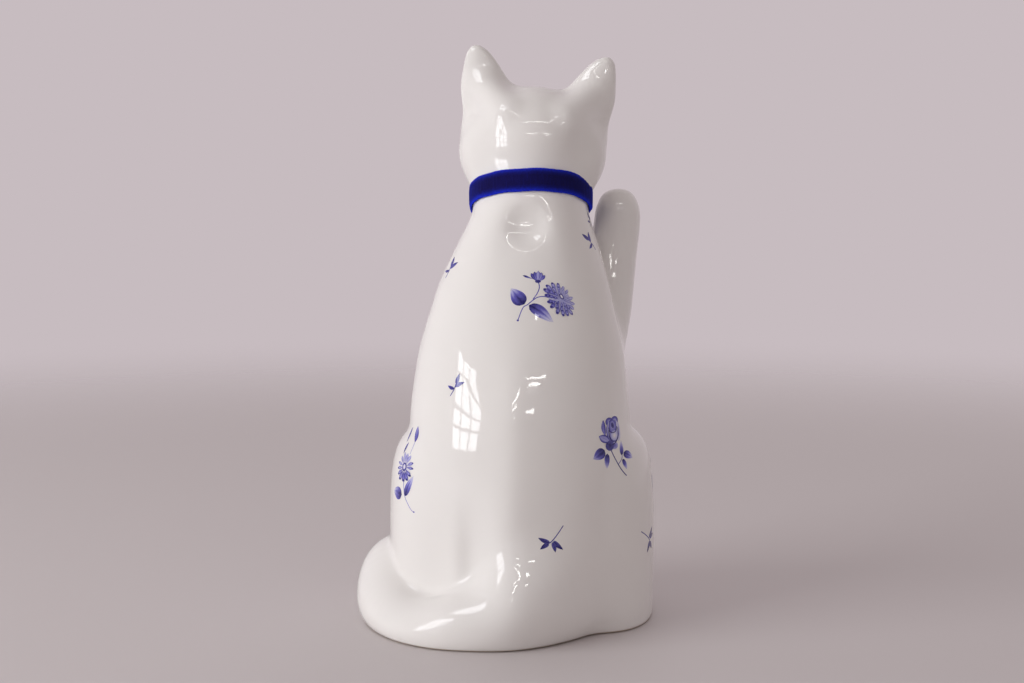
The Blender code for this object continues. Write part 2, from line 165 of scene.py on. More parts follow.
# height, centre and radii of the modeller's smaller swellings and hollows
TOUCHES = (
    (1.2, (15.5, 14, 171), (7, 14, 15)),
    (1.2, (-15.5, 14, 171), (7, 14, 15)),
    (-3.2, (22, 40, 34), (7, 16, 21)),
    (-1.4, (-24, 38, 20), (14, 18, 16)),
    (1, (34, 28, 62), (12, 14, 22)),
    (2.4, (30, 50, 15.5), (17, 14, 6)),
    (-0.9, (HEAD[0] + 22, 4, 210.5), (6, 10, 7)),
    (-2.6, (HEAD[0] - 22, 4, 210.5), (6, 10, 7)),
)
NAPE_X, NAPE_Z, NAPE_R, NAPE_DEPTH = -0.4, 178.2, 7.7, 4.3
WAVE = 0.13  # the glaze's slow waves
ACROSS, UP = np.array([1.0, 0.0, 0.0]), np.array([0.0, 0.0, 1.0])


def smoothed(rows, steps):
    """Rows of numbers joined by a Catmull-Rom curve, with steps rows to each stretch."""
    rows = np.array(rows, float)
    padded = np.vstack([rows[:1], rows, rows[-1:]])
    t = np.arange(steps)[:, None] / steps
    made = []
    for a, b, c, d in zip(padded, padded[1:], padded[2:], padded[3:]):
        bend, twist = 2 * a - 5 * b + 4 * c - d, 3 * b - a - 3 * c + d
        made.append(0.5 * (2 * b + (c - a) * t + bend * t**2 + twist * t**3))
    return np.vstack([*made, rows[-1:]])


def unrolled(x, z):
    """x and z in the head's own upright frame."""
    dx, dz = x - HEAD[0], z - HEAD[2]
    c, s = math.cos(-HEAD_ROLL), math.sin(-HEAD_ROLL)
    return HEAD[0] + dx * c + dz * s, HEAD[2] - dx * s + dz * c


def along(parts, way):
    """How far three coordinates reach along a direction."""
    return parts[0] * way[0] + parts[1] * way[1] + parts[2] * way[2]


def grids(a, b):
    """Two grids, over which a changes from row to row and b from column to column."""
    return np.meshgrid(a, b, indexing="ij")


TORSO_FINE, TORSO_TOP = smoothed(TORSO, 16), 12.0  # the torso's top is hidden in the head


def torso(x, y, z):
    """Oval sections, stacked and leaning as the table says."""
    level, *columns, lean = TORSO_FINE.T
    slope = np.tan(np.radians(lean))
    at = z + 0 * y
    for _ in range(7):
        at = z - (y - np.interp(at, level, columns[1])) * np.interp(at, level, slope)
    cx, cy, half_width, half_depth = (np.interp(at, level, column) for column in columns)
    back = (y - cy) / np.cos(np.radians(np.interp(at, level, lean)))
    g = np.sqrt(((x - cx) / half_width) ** 2 + (back / half_depth) ** 2) - 1
    top = (y - NECK[1]) * NECK_UP[1] + (z - NECK[2]) * NECK_UP[2] - TORSO_TOP
    return np.maximum(g * half_depth, top + 0 * x)


def drum(centre, radii, power):
    """A round form whose top and sides grow flatter and fuller with the power; at 2 it is an ellipsoid."""

    def value(x, y, z):
        plan = ((x - centre[0]) / radii[0]) ** 2 + ((y - centre[1]) / radii[1]) ** 2
        g = (plan ** (power / 2) + np.abs((z - centre[2]) / radii[2]) ** power) ** (1 / power) - 1
        return g * min(radii)

    return value


def on_head(form):
    """The same form, tilted with the head."""

    def value(x, y, z):
        x, z = unrolled(x, z)
        return form(x, y, z)

    return value


def ear(side, grow=1.0, forward=0.0):
    """An ear's back and edge; grow and forward make the smaller form that hollows its front."""
    level, out, cy, a, b = smoothed(EAR, 8).T

    def value(x, y, z):
        x, z = unrolled(x, z)
        up = z - HEAD[2]
        half_width, half_depth = np.interp(up, level, a) * grow, np.interp(up, level, b) * grow
        over = np.maximum(up - EAR_TIP * grow, 0) / EAR_CAP + np.maximum(level[0] - up, 0) / 6
        g = np.sqrt(
            ((x - HEAD[0] - side * np.interp(up, level, out)) / half_width) ** 2
            + ((y + forward - HEAD[1] - np.interp(up, level, cy)) / half_depth) ** 2
            + over**2
        )
        return (g - 1) * half_depth

    return value


def limb(rows, reference):
    """A tapered limb, oval in section; its first radius lies as near as it can to the reference direction."""
    rows = smoothed(rows, 6)
    path, deep, wide = rows[:, :3], rows[:, 3], rows[:, 4]
    pieces = []
    for i in range(len(path) - 1):
        way = path[i + 1] - path[i]
        length = np.linalg.norm(way)
        way = way / length
        side = reference - way * reference.dot(way)
        side = side / np.linalg.norm(side)
        pieces.append((path[i], way, length, side, np.cross(way, side), deep[i : i + 2], wide[i : i + 2]))

    def value(x, y, z):
        best = None
        for start, way, length, side, other, r1, r2 in pieces:
            p = x - start[0], y - start[1], z - start[2]
            s = np.clip(along(p, way), 0, length)
            a, b = r1[0] + (r1[1] - r1[0]) * s / length, r2[0] + (r2[1] - r2[0]) * s / length
            q = [c - s * w for c, w in zip(p, way)]
            u, v = along(q, side) / a, along(q, other) / b
            w = along(q, way) / np.minimum(a, b) * LIMB_END
            g = (np.sqrt(u * u + v * v + w * w) - 1) * np.minimum(a, b)
            best = g if best is None else np.minimum(best, g)
        return best

    return value


def capsule(a, b, radius):
    a, b = np.array(a, float), np.array(b, float)
    way = b - a

    def value(x, y, z):
        p = x - a[0], y - a[1], z - a[2]
        s = np.clip(along(p, way) / way.dot(way), 0, 1)
        return np.sqrt(sum((c - s * w) ** 2 for c, w in zip(p, way))) - radius

    return value


# ---------------------------------------------------------------- the field
low = np.array(cad_bounds[0]) / MM - EDGE
high = np.array(cad_bounds[1]) / MM + EDGE
counts = np.ceil((high - low) / STEP).astype(int) + 1
AXES = [(low[i] + STEP * np.arange(counts[i])).astype(np.float32) for i in range(3)]
field = np.full(counts, 1e3, np.float32)
EVERYWHERE = (slice(None),) * 3


def window(box, margin=12.0):
    """Slices of the field that cover a box of two corners and a margin."""
    found = []
    for i in range(3):
        first = int(np.floor((box[0][i] - margin - low[i]) / STEP))
        last = int(np.ceil((box[1][i] + margin - low[i]) / STEP)) + 1
        found.append(slice(max(first, 0), min(max(last, 2), counts[i])))
    return tuple(found)


def spread(cut):
    x, y, z = (AXES[i][cut[i]] for i in range(3))
    return x[:, None, None], y[None, :, None], z[None, None, :]


def distance(form, cut):
    """The form's value over a window, scaled so that it falls or rises by one for each millimetre."""
    g = np.asarray(form(*spread(cut)), np.float32)
    slope = np.sqrt(sum(d * d for d in np.gradient(g, STEP)))
    return g / np.clip(slope, 0.25, None)


def smooth_min(a, b, k):
    h = np.clip(0.5 + 0.5 * (b - a) / k, 0, 1)
    return b + (a - b) * h - k * h * (1 - h)


def add(form, k, box=None):
    """Joins a form to the field with a fillet of about k, which may vary over space."""
    cut = window(box) if box else EVERYWHERE
    radius = k(*spread(cut)) if callable(k) else k
    field[cut] = smooth_min(field[cut], distance(form, cut), radius)


def carve(form, k, box):
    cut = window(box, 6.0)
    field[cut] = -smooth_min(-field[cut], distance(form, cut), k)


def around(centre, radii):
    centre, radii = np.array(centre, float), np.array(radii, float)
    return centre - radii, centre + radii


def reach(rows):
    rows = np.array(rows)
    r = rows[:, 3:5].max()
    return rows[:, :3].min(0) - r, rows[:, :3].max(0) + r


def soften(values, sigma):
    """A small Gaussian blur, as glaze fills a crease."""
    span = int(math.ceil(2.5 * sigma))
    taps = np.exp(-0.5 * (np.arange(-span, span + 1) / sigma) ** 2)
    taps = (taps / taps.sum()).astype(np.float32)
    for axis in range(3):
        wide = np.pad(values, [(span, span) if i == axis else (0, 0) for i in range(3)], "edge")
        size = values.shape[axis]
        values = sum(t * np.take(wide, range(j, j + size), axis) for j, t in enumerate(taps))
    return values


def bump(x, y, z, centre, radii):
    return np.exp(-sum(((p - c) / r) ** 2 for p, c, r in zip((x, y, z), centre, radii)))


def modelling(x, y, z):
    """How far the modeller's touches raise the back, haunches and head, in millimetres."""
    spine = np.interp(z, (0, 60, 140, 165, 190), (7.0, 6.6, 4.4, 2.0, -1.0))
    height = np.interp(z, (0, 12, 30, 95, 118, 136), (0.8, 2.2, 3.1, 3.0, 1.6, 0.0))
    behind = np.clip((y - 6.0) / 16.0, 0, 1)
    raised = height * behind * np.exp(-(np.sqrt((x - spine) ** 2 + 25.0) - 5.0) / 13.0)
    nape = ((x - NAPE_X) ** 2 + (z - NAPE_Z) ** 2) / NAPE_R**2
    raised = raised - NAPE_DEPTH * np.exp(-(nape**1.6)) * behind
    for rise, centre, radii in TOUCHES:
        raised = raised + rise * bump(x, y, z, centre, radii)
    waves = np.sin(x / 7.3 + 0.7) * np.sin(y / 9.1 + 1.9) * np.sin(z / 8.3 + 0.4)
    waves = waves + 0.6 * np.sin(x / 4.7 + 2.1) * np.sin(z / 5.9 + 1.3) * np.cos(y / 6.3)
    return raised + WAVE * waves


forms = {
    "body": [torso] + [drum(c, HAUNCH_R, HAUNCH_POWER) for c in HAUNCH]
    + [drum(c, HIND_FOOT_R, HIND_FOOT_POWER) for c in HIND_FOOT],
    "head": [on_head(drum(centre, radii, 2.0)) for centre, radii, _ in HEAD_FORMS],
    "left_ear": [ear(1)],
    "right_ear": [ear(-1)],
    "raised_foreleg": [limb(RAISED_FORELEG, ACROSS)],
    "planted_foreleg": [limb(PLANTED_FORELEG, ACROSS)],
    "tail": [limb(TAIL, UP)],
}

add(torso, 0.01)
for centre, form in zip(HAUNCH, forms["body"][1:3]):
    add(form, 6.0, around(centre, HAUNCH_R))
for centre, form in zip(HIND_FOOT, forms["body"][3:5]):
    add(form, 5.0, around(centre, HIND_FOOT_R))
for (centre, radii, fillet), form in zip(HEAD_FORMS, forms["head"]):
    add(form, fillet, around(centre, radii))
add(drum(NOSE, NOSE_R, 2.0), 2.5, around(NOSE, NOSE_R))
for side in (1, -1):
    add(ear(side), 7.0, EAR_BOX)
for side in (1, -1):
    root = [(HEAD[0] + side * out, HEAD[1] + y, HEAD[2] + up) for out, y, up in EAR_ROOT]
    add(on_head(capsule(*root, EAR_ROOT_R)), 4.5, EAR_ROOT_BOX)


def shoulder_fillet(x, y, z):
    return np.interp(z, (118, 145, 160), (9.0, 3.0, 3.0))


def rump_fillet(x, y, z):
    return np.interp(x, (0, 14, 30, 40), (16.0, 12.0, 4.0, 2.4))


add(forms["planted_foreleg"][0], 6.0, reach(PLANTED_FORELEG))
add(forms["raised_foreleg"][0], shoulder_fillet, reach(RAISED_FORELEG))
add(forms["tail"][0], rump_fillet, reach(TAIL))
for side in (1, -1):
    carve(ear(side, EAR_CUP_SIZE, EAR_CUP_FORWARD), 3.4, EAR_CUP_BOX)
    socket = (HEAD[0] + side * SOCKET_OUT, *SOCKET)
    carve(drum(socket, SOCKET_R, 2.0), 5.0, around(socket, SOCKET_ROOM))
for middle, start, end in TOE_LINES:
    for side in (1, -1):
        ends = np.array([(middle + side * TOE_SPLIT, *place) for place in (start, end)])
        carve(capsule(*ends, TOE_LINE_R), 1.2, (ends.min(0) - TOE_ROOM, ends.max(0) + TOE_ROOM))
field -= modelling(*spread(EVERYWHERE)).astype(np.float32)
field = soften(field, 1.25)

# the flat foot, with the recess that the base plate closes
z = AXES[2][None, None, :]
field = -smooth_min(-field, z + 0 * field, FOOT_ROUND)
hole = np.sqrt(AXES[0][:, None, None] ** 2 + (AXES[1][None, :, None] - PLATE_Y) ** 2) - PLATE_R - PLATE_GAP
field = np.maximum(field, -np.maximum(hole, z - PLATE_THICK - PLATE_GAP))


def sample(values, points):
    """Trilinear samples of a field at points in millimetres."""
    at = (points - low) / STEP
    cell = np.clip(np.floor(at).astype(int), 0, np.array(values.shape[:3]) - 2)
    f = at - cell
    total = 0
    for corner in np.ndindex(2, 2, 2):
        weight = np.prod([f[:, i] if ahead else 1 - f[:, i] for i, ahead in enumerate(corner)], axis=0)
        total = total + weight * values[tuple((cell + corner).T)]
    return total


gradient = [g.astype(np.float32) for g in np.gradient(field, STEP)]


def slope_at(points):
    return np.stack([sample(g, points) for g in gradient], 1)


def normals_at(points):
    n = slope_at(points)
    return n / np.linalg.norm(n, axis=1, keepdims=True)


def settle(points, rounds=4):
    """Moves points along the field's slope onto the surface."""
    for _ in range(rounds):
        n = slope_at(points)
        points = points - n * (sample(field, points) / np.maximum((n * n).sum(1), 0.1))[:, None]
    return points


def surface_net():
    """Vertices and quads of the field's zero surface, one vertex to each cell that it crosses."""
    inside = field < 0
    corners = list(np.ndindex(2, 2, 2))
    shape = tuple(n - 1 for n in field.shape)
    total = 0
    for c in corners:
        total = total + inside[tuple(slice(i, i + n) for i, n in zip(c, shape))].astype(np.int8)
    cells = np.argwhere((total > 0) & (total < 8))
    ids = np.full(shape, -1, np.int32)
    ids[tuple(cells.T)] = np.arange(len(cells))
    values = {c: field[tuple((cells + c).T)] for c in corners}
    summed, hits = np.zeros((len(cells), 3)), np.zeros(len(cells))
    for c in corners:
        for axis in range(3):
            if c[axis]:
                continue
            d = tuple(1 if i == axis else c[i] for i in range(3))
            a, b = values[c], values[d]
            crossed = (a < 0) != (b < 0)
            t = np.where(crossed, a / np.where(crossed, a - b, 1), 0)
            summed += (np.array(c, float) + t[:, None] * np.eye(3)[axis]) * crossed[:, None]
            hits += crossed
    points = low + (cells + summed / hits[:, None]) * STEP
    quads = []
    for axis in range(3):
        u, v = (axis + 1) % 3, (axis + 2) % 3
        ahead, behind = [slice(None)] * 3, [slice(None)] * 3
        ahead[axis], behind[axis] = slice(1, None), slice(None, -1)
        a, b = inside[tuple(behind)], inside[tuple(ahead)]
        for edges, outward in ((np.argwhere(a & ~b), True), (np.argwhere(~a & b), False)):
            du, dv = np.eye(3, dtype=int)[u], np.eye(3, dtype=int)[v]
            ring = [edges - du - dv, edges - dv, edges, edges - du]
            quad = np.stack([ids[tuple(r.T)] for r in ring], 1)
            quads.append(quad if outward else quad[:, ::-1])
    return points, np.vstack(quads)


points, quads = surface_net()
points = settle(points, 3)
normals = normals_at(points)


def label(points):
    """The number of the casting that each point belongs to."""
    x, y, z = points.T
    scores = [np.min([form(x, y, z) for form in forms[name]], axis=0) for name in forms]
    names = list(forms)
    above = (points - NECK) @ NECK_UP > 0
    scores[names.index("body")] = scores[names.index("body")] + np.where(above, 99, 0)
    scores[names.index("head")] = scores[names.index("head")] + np.where(above, 0, 99)
    return np.argmin(scores, axis=0)


def placed(name, data, location=(0, 0, 0), rotation=(0, 0, 0)):
    obj = bpy.data.objects.new(name, data)
    obj.location, obj.rotation_euler = location, rotation
    bpy.context.scene.collection.objects.link(obj)
    return obj


def new_object(name, mesh, material, body):
    obj = placed(name, mesh)
    mesh.materials.append(material)
    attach(obj, body)
    return obj


def closed_piece(name, faces):
    """One casting: its part of the glazed surface, with each open edge closed by a fan behind it."""
    used, index = np.unique(faces, return_inverse=True)
    faces = index.reshape(-1, 4)
    vertices, vertex_normals = points[used], normals[used]
    edges = np.concatenate([faces[:, [i, (i + 1) % 4]] for i in range(4)])
    key = edges[:, 0].astype(np.int64) * len(used) + edges[:, 1]
    back = edges[:, 1].astype(np.int64) * len(used) + edges[:, 0]
    rim = edges[~np.isin(key, back)]
    following = dict(rim[:, ::-1].tolist())
    caps, extra = [], []
    left = set(following)
    while left:
        at = left.pop()
        loop = [at]
        while following.get(at) in left:
            at = following[at]
            left.discard(at)
            loop.append(at)
        hub = len(used) + len(extra)
        extra.append(vertices[loop].mean(0))
        caps += [(a, b, hub) for a, b in zip(loop, loop[1:] + loop[:1])]
    mesh = bpy.data.meshes.new(name)
    everything = np.vstack([vertices, extra])
    mesh.from_pydata((everything * MM).tolist(), [], faces.tolist() + caps)
    smooth = vertex_normals[faces.reshape(-1)]
    flat = []
    for a, b, c in caps:
        n = np.cross(everything[b] - everything[a], everything[c] - everything[a])
        flat += [n / max(np.linalg.norm(n), 1e-9)] * 3
    mesh.normals_split_custom_set(np.vstack([smooth, flat]).tolist())
    return mesh


# ---------------------------------------------------------------- materials
def new_material(name):
    made = bpy.data.materials.new(name)
    made.use_nodes = True
    return made, made.node_tree, made.node_tree.nodes["Principled BSDF"]


def set_inputs(node, values):
    for name, value in values.items():
        node.inputs[name].default_value = value


def add_node(tree, kind, inputs=None, **settings):
    made = tree.nodes.new("ShaderNode" + kind)
    for name, value in settings.items():
        setattr(made, name, value)
    set_inputs(made, inputs or {})
    return made


def fed(tree, made, sockets, values):
    """Gives a node's sockets their values, each of which is another socket, a colour or a number."""
    for socket, value in zip(sockets, values):
        if isinstance(value, bpy.types.NodeSocket):
            tree.links.new(value, socket)
        else:
            socket.default_value = (*value, 1.0) if isinstance(value, tuple) else value
    return made


def mixed(tree, factor, a, b):
    """Colours a and b blended by factor."""
    made = add_node(tree, "Mix", data_type="RGBA")
    return fed(tree, made, (made.inputs["Factor"], made.inputs[6], made.inputs[7]), (factor, a, b)).outputs[2]


def calculated(tree, operation, *values):
    made = add_node(tree, "Math", operation=operation)
    return fed(tree, made, made.inputs, values).outputs[0]


def ranged(tree, source, start, end, low_value=0.0, high_value=1.0, interpolation="LINEAR"):
    """low_value where source is start, high_value where it is end, and a blend between."""
    values = {"From Min": start, "From Max": end, "To Min": low_value, "To Max": high_value}
    made = add_node(tree, "MapRange", values, interpolation_type=interpolation)
    tree.links.new(source, made.inputs["Value"])
    return made.outputs["Result"]


def ramp(tree, source, stops):
    made = add_node(tree, "ValToRGB")
    elements = made.color_ramp.elements
    while len(elements) < len(stops):
        elements.new(0.5)
    for element, (place, color) in zip(elements, stops):
        element.position = place
        element.color = (*color, 1.0)
    tree.links.new(source, made.inputs["Fac"])
    return made.outputs["Color"]


def coordinates(tree):
    return add_node(tree, "TexCoord").outputs["Object"]


def noise(tree, scale, detail=3.0, roughness=0.5):
    made = add_node(tree, "TexNoise", {"Scale": scale, "Detail": detail, "Roughness": roughness})
    tree.links.new(coordinates(tree), made.inputs["Vector"])
    return made.outputs["Fac"]


def roughen(tree, shader, height, strength, depth):
    made = add_node(tree, "Bump", {"Strength": strength, "Distance": depth})
    tree.links.new(height, made.inputs["Height"])
    tree.links.new(made.outputs["Normal"], shader.inputs["Normal"])


NOISE_LOW, NOISE_HIGH = 0.3, 0.7  # nearly all of a noise texture lies between these
GLAZE = (0.83, 0.81, 0.785)
# from bare glaze through thin washes to the thickest cobalt
COBALT = ((0.0, GLAZE), (0.25, (0.46, 0.46, 0.76)), (0.55, (0.125, 0.115, 0.50)), (1.0, (0.010, 0.007, 0.12)))
BARE_CLAY = (0.46, 0.36, 0.27)
BARE_HEIGHT, GLAZED_HEIGHT = 0.0005, 0.0011
GLOSSY, MATT = 0.035, 0.6


def glaze_material():
    """Clear glaze over white porcelain, with cobalt where the 'cobalt' attribute says so, and a bare foot."""
    made, tree, shader = new_material("glazed_porcelain")
    body = mixed(tree, noise(tree, 22.0), (0.845, 0.825, 0.80), (0.815, 0.80, 0.78))
    paint = add_node(tree, "Attribute", attribute_name="cobalt").outputs["Fac"]
    brushed = calculated(tree, "MULTIPLY_ADD", noise(tree, 900.0, 4.0, 0.6), 0.5, 0.75)
    cobalt = ramp(tree, calculated(tree, "MULTIPLY", paint, brushed), COBALT)
    color = mixed(tree, calculated(tree, "GREATER_THAN", paint, 0.001), body, cobalt)
    axes = add_node(tree, "SeparateXYZ")
    tree.links.new(coordinates(tree), axes.inputs[0])
    bare = ranged(tree, axes.outputs["Z"], GLAZED_HEIGHT, BARE_HEIGHT)
    tree.links.new(mixed(tree, bare, color, BARE_CLAY), shader.inputs["Base Color"])
    tree.links.new(ranged(tree, bare, 0.0, 1.0, GLOSSY, MATT), shader.inputs["Roughness"])
    set_inputs(shader, {"IOR": 1.52})
    roughen(tree, shader, noise(tree, 130.0, 2.0), 0.05, 0.0006)
    return made


def biscuit_material():
    made, tree, shader = new_material("unglazed_biscuit")
    grain = noise(tree, 420.0, 5.0)
    tree.links.new(mixed(tree, grain, (0.62, 0.56, 0.47), (0.74, 0.69, 0.61)), shader.inputs["Base Color"])
    tree.links.new(ranged(tree, grain, NOISE_LOW, NOISE_HIGH, 0.68, 0.85), shader.inputs["Roughness"])
    roughen(tree, shader, grain, 0.3, 0.0002)
    return made


def velvet_material():
    """Pile that is near black face on, mixed to bright blue by a mask: along the edges partly their own
    colour and partly painted sheen, and painted sheen where light rakes it.
    """
    made, tree, shader = new_material("blue_velvet")
    fibre = noise(tree, 2600.0, 2.0, 0.7)
    dark = mixed(tree, noise(tree, 160.0), (0.004, 0.0025, 0.058), (0.006, 0.004, 0.10))
    # mask of the edges' own brighter blue and of painted sheen on the edges, the dip and the band's left end
    edge = add_node(tree, "Attribute", attribute_name="selvedge_and_sheen").outputs["Fac"]
    blue = mixed(tree, edge, dark, (0.012, 0.035, 0.85))
    shade = ranged(tree, fibre, NOISE_LOW, NOISE_HIGH, 0.0, 0.6)
    tree.links.new(mixed(tree, shade, blue, (0.002, 0.001, 0.035)), shader.inputs["Base Color"])
    set_inputs(shader, {
        "Roughness": 0.95,
        "Specular IOR Level": 0.15,
        "Sheen Weight": 0.55,
        "Sheen Roughness": 0.28,
        "Sheen Tint": (0.05, 0.09, 1.0, 1.0),
    })
    roughen(tree, shader, fibre, 0.7, 0.0004)
    return made


def brass_material():
    made, tree, shader = new_material("polished_brass")
    tarnish = noise(tree, 300.0, 4.0)
    tree.links.new(mixed(tree, tarnish, (0.86, 0.62, 0.27), (0.70, 0.47, 0.17)), shader.inputs["Base Color"])
    tree.links.new(ranged(tree, tarnish, NOISE_LOW, NOISE_HIGH, 0.16, 0.34), shader.inputs["Roughness"])
    set_inputs(shader, {"Metallic": 1.0})
    roughen(tree, shader, noise(tree, 1800.0, 2.0), 0.06, 0.0001)
    return made


porcelain, biscuit = glaze_material(), biscuit_material()
velvet, brass = velvet_material(), brass_material()

REPLACED = {"body": "body_casting", "head": "head_casting"}
owner = label(points[quads].mean(1))
for number, name in enumerate(forms):
    title = name + "_glazed"
    casting = new_object(title, closed_piece(title, quads[owner == number]), porcelain, "cat")
    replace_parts(casting, REPLACED.get(name, name))

plate = bpy.data.objects["base_plate"]
plate.data.materials.clear()
plate.data.materials.append(biscuit)

# ---------------------------------------------------------------- cobalt painting
PAINT_LIFT, LAYER = 0.02, 0.006
LOOKS = {"back": (0, 1, 0), "front": (0, -1, 0), "left": (1, 0, 0), "right": (-1, 0, 0)}


def meet(point, toward):
    """Where a line that comes from outside, against toward, first meets the glaze."""
    reach_out = np.array(point) + toward * np.linspace(150, -150, 1201)[:, None]
    inside = np.all((reach_out > low) & (reach_out < high), axis=1)
    value = np.where(inside, sample(field, np.clip(reach_out, low, high)), 9.0)
    first = int(np.argmax(value < 0))
    return settle(reach_out[first][None, :])


def shape(t):
    """0 at both ends of a petal and 1 at its broadest."""
    return np.sin(math.pi * np.clip(t, 0, 1))


def petal(base, tip, width, full=1.0, bend=0.0, tone=(0.9, 0.4), rim=0.0, vein=0.0, fade=0.0, streak=0.12):
    """A brush stroke as a grid of points and paint amounts.

    A full above 1 puts the broadest place near the tip. tone is the paint at its base and tip, rim and vein
    darken its edges and middle, fade thins one edge, and streak is how far the brush's hairs show."""
    t, s = grids(np.linspace(0, 1, 12), np.linspace(-1, 1, 9))
    base, tip = np.array(base, float), np.array(tip, float)
    along = tip - base
    across = np.array([-along[1], along[0]]) / np.linalg.norm(along)
    half = np.maximum(width / 2 * shape(t**full) ** 0.75, 0.03)
    hairs = np.sin(s * 9.0 + base.sum() * 3.1) * np.sin(s * 17.0 + tip.sum() * 1.7)
    ragged = 1 + 0.05 * hairs * t
    place = base + (t * ragged)[..., None] * along + (half * s + bend * shape(t))[..., None] * across
    paint = tone[0] + (tone[1] - tone[0]) * t + rim * np.abs(s) ** 3
    paint = paint + vein * np.exp(-((s / 0.22) ** 2)) * (1 - t)
    paint = paint * (1 - fade * (s + 1) / 2) + streak * hairs * shape(t)
    return place, np.clip(paint, 0.03, 1.0)


def line(path, width=0.5, tone=0.8, taper=0.3):
    """A thin stroke along a smooth path."""
    path = smoothed([(*p, 0.0) for p in path], 5)[:, :2]
    way = np.gradient(path, axis=0)
    across = np.stack([-way[:, 1], way[:, 0]], 1) / np.linalg.norm(way, axis=1)[:, None]
    t = np.linspace(0, 1, len(path))
    half = width / 2 * (1 - taper * t)
    s = np.linspace(-1, 1, 3)
    place = path[:, None] + (half[:, None] * s)[..., None] * across[:, None]
    return place, np.full(place.shape[:2], tone)


def spot(centre, radii, tone=(0.9, 0.9), turn=0.0):
    """A dab of paint; tone is its middle and its edge."""
    r, a = grids(np.linspace(0.02, 1, 4), np.linspace(0, 2 * math.pi, 17))
    u, v = r * np.cos(a) * radii[0], r * np.sin(a) * radii[1]
    c, s = math.cos(turn), math.sin(turn)
    place = np.array(centre, float) + np.stack([u * c - v * s, u * s + v * c], -1)
    return place, tone[0] + (tone[1] - tone[0]) * r


def painted(name, look, at, strokes, turn=0.0, stretch=1.0, scale=1.0):
    """Lays strokes on the glaze as one thin piece, round the place (across, up) that is seen from look."""
    start = (at[0], 0, at[1]) if look in ("back", "front") else (0, at[0], at[1])
    origin = meet(start, np.array(LOOKS[look]))
    n = normals_at(origin)[0]
    right = np.cross(UP, n)
    right /= np.linalg.norm(right)
    up = np.cross(n, right)
    c, s = math.cos(turn), math.sin(turn)
    vertices, amounts, faces, vertex_normals = [], [], [], []
    for layer, (place, paint) in enumerate(strokes):
        u, v = place[..., 0].ravel() * scale, place[..., 1].ravel() * scale
        u, v = (u * c - v * s) * stretch, u * s + v * c
        on = settle(origin + u[:, None] * right + v[:, None] * up)
        normal = normals_at(on)
        first = len(vertices)
        vertices += (on + normal * (PAINT_LIFT + LAYER * layer)).tolist()
        vertex_normals += normal.tolist()
        amounts += paint.ravel().tolist()
        rows, columns = paint.shape
        corner = first + (np.arange(rows - 1)[:, None] * columns + np.arange(columns - 1)).ravel()
        faces.append(np.stack([corner, corner + 1, corner + columns + 1, corner + columns], 1))
    vertices, faces = np.array(vertices), np.vstack(faces)
    # strokes may run either way round, so each face is turned to look outwards
    a, b, c, d = vertices[faces].transpose(1, 0, 2)
    inward = (np.cross(c - a, d - b) * np.array(vertex_normals)[faces[:, 0]]).sum(1) <= 0
    faces[inward] = faces[inward, ::-1]
    mesh = bpy.data.meshes.new(name)
    mesh.from_pydata((vertices * MM).tolist(), [], faces.tolist())
    mesh.attributes.new("cobalt", "FLOAT", "POINT").data.foreach_set("value", amounts)
    mesh.normals_split_custom_set_from_vertices(vertex_normals)
    return new_object(name, mesh, porcelain, "cat")


def rosette(centre, long_r, short_r, tilt, rows, dark_side, rng, ground=0.2):
    """Rows of club-tipped petals round a centre, darker towards dark_side.

    Each row is how many petals, where they start and end, as shares of the radii, and their width."""
    made = [spot(centre, (long_r * 0.8, short_r * 0.8), (ground + 0.1, ground), tilt)]
    c, s = math.cos(tilt), math.sin(tilt)

    def around_centre(angle, r):
        u, v = math.cos(angle) * long_r * r, math.sin(angle) * short_r * r
        return centre[0] + u * c - v * s, centre[1] + u * s + v * c

    for number, (count, inner, outer, width) in enumerate(rows):
        for k in range(count):
            angle = 2 * math.pi * (k + 0.5 * (number % 2)) / count + rng.uniform(-0.06, 0.06)
            strong = 0.5 + 0.5 * math.cos(angle + tilt - dark_side)
            end = outer * rng.uniform(0.94, 1.05)
            tone = (0.35 + 0.35 * strong, 0.2 + 0.12 * strong)
            ends = around_centre(angle, inner), around_centre(angle, end)
            made.append(petal(*ends, width * (0.72 + 0.28 * strong), 1.6, tone=tone, rim=0.45, streak=0.1))
            if strong > 0.2:
                dab = width * (0.14 + 0.27 * strong)
                made.append(spot(around_centre(angle, end * 0.93), (dab, dab * 0.85), (1.0, 0.7)))
    return made


def leaf(base, tip, width, bend=0.0, tone=(1.0, 0.08)):
    return petal(base, tip, width, full=0.72, bend=bend, tone=tone, vein=0.3, streak=0.2)


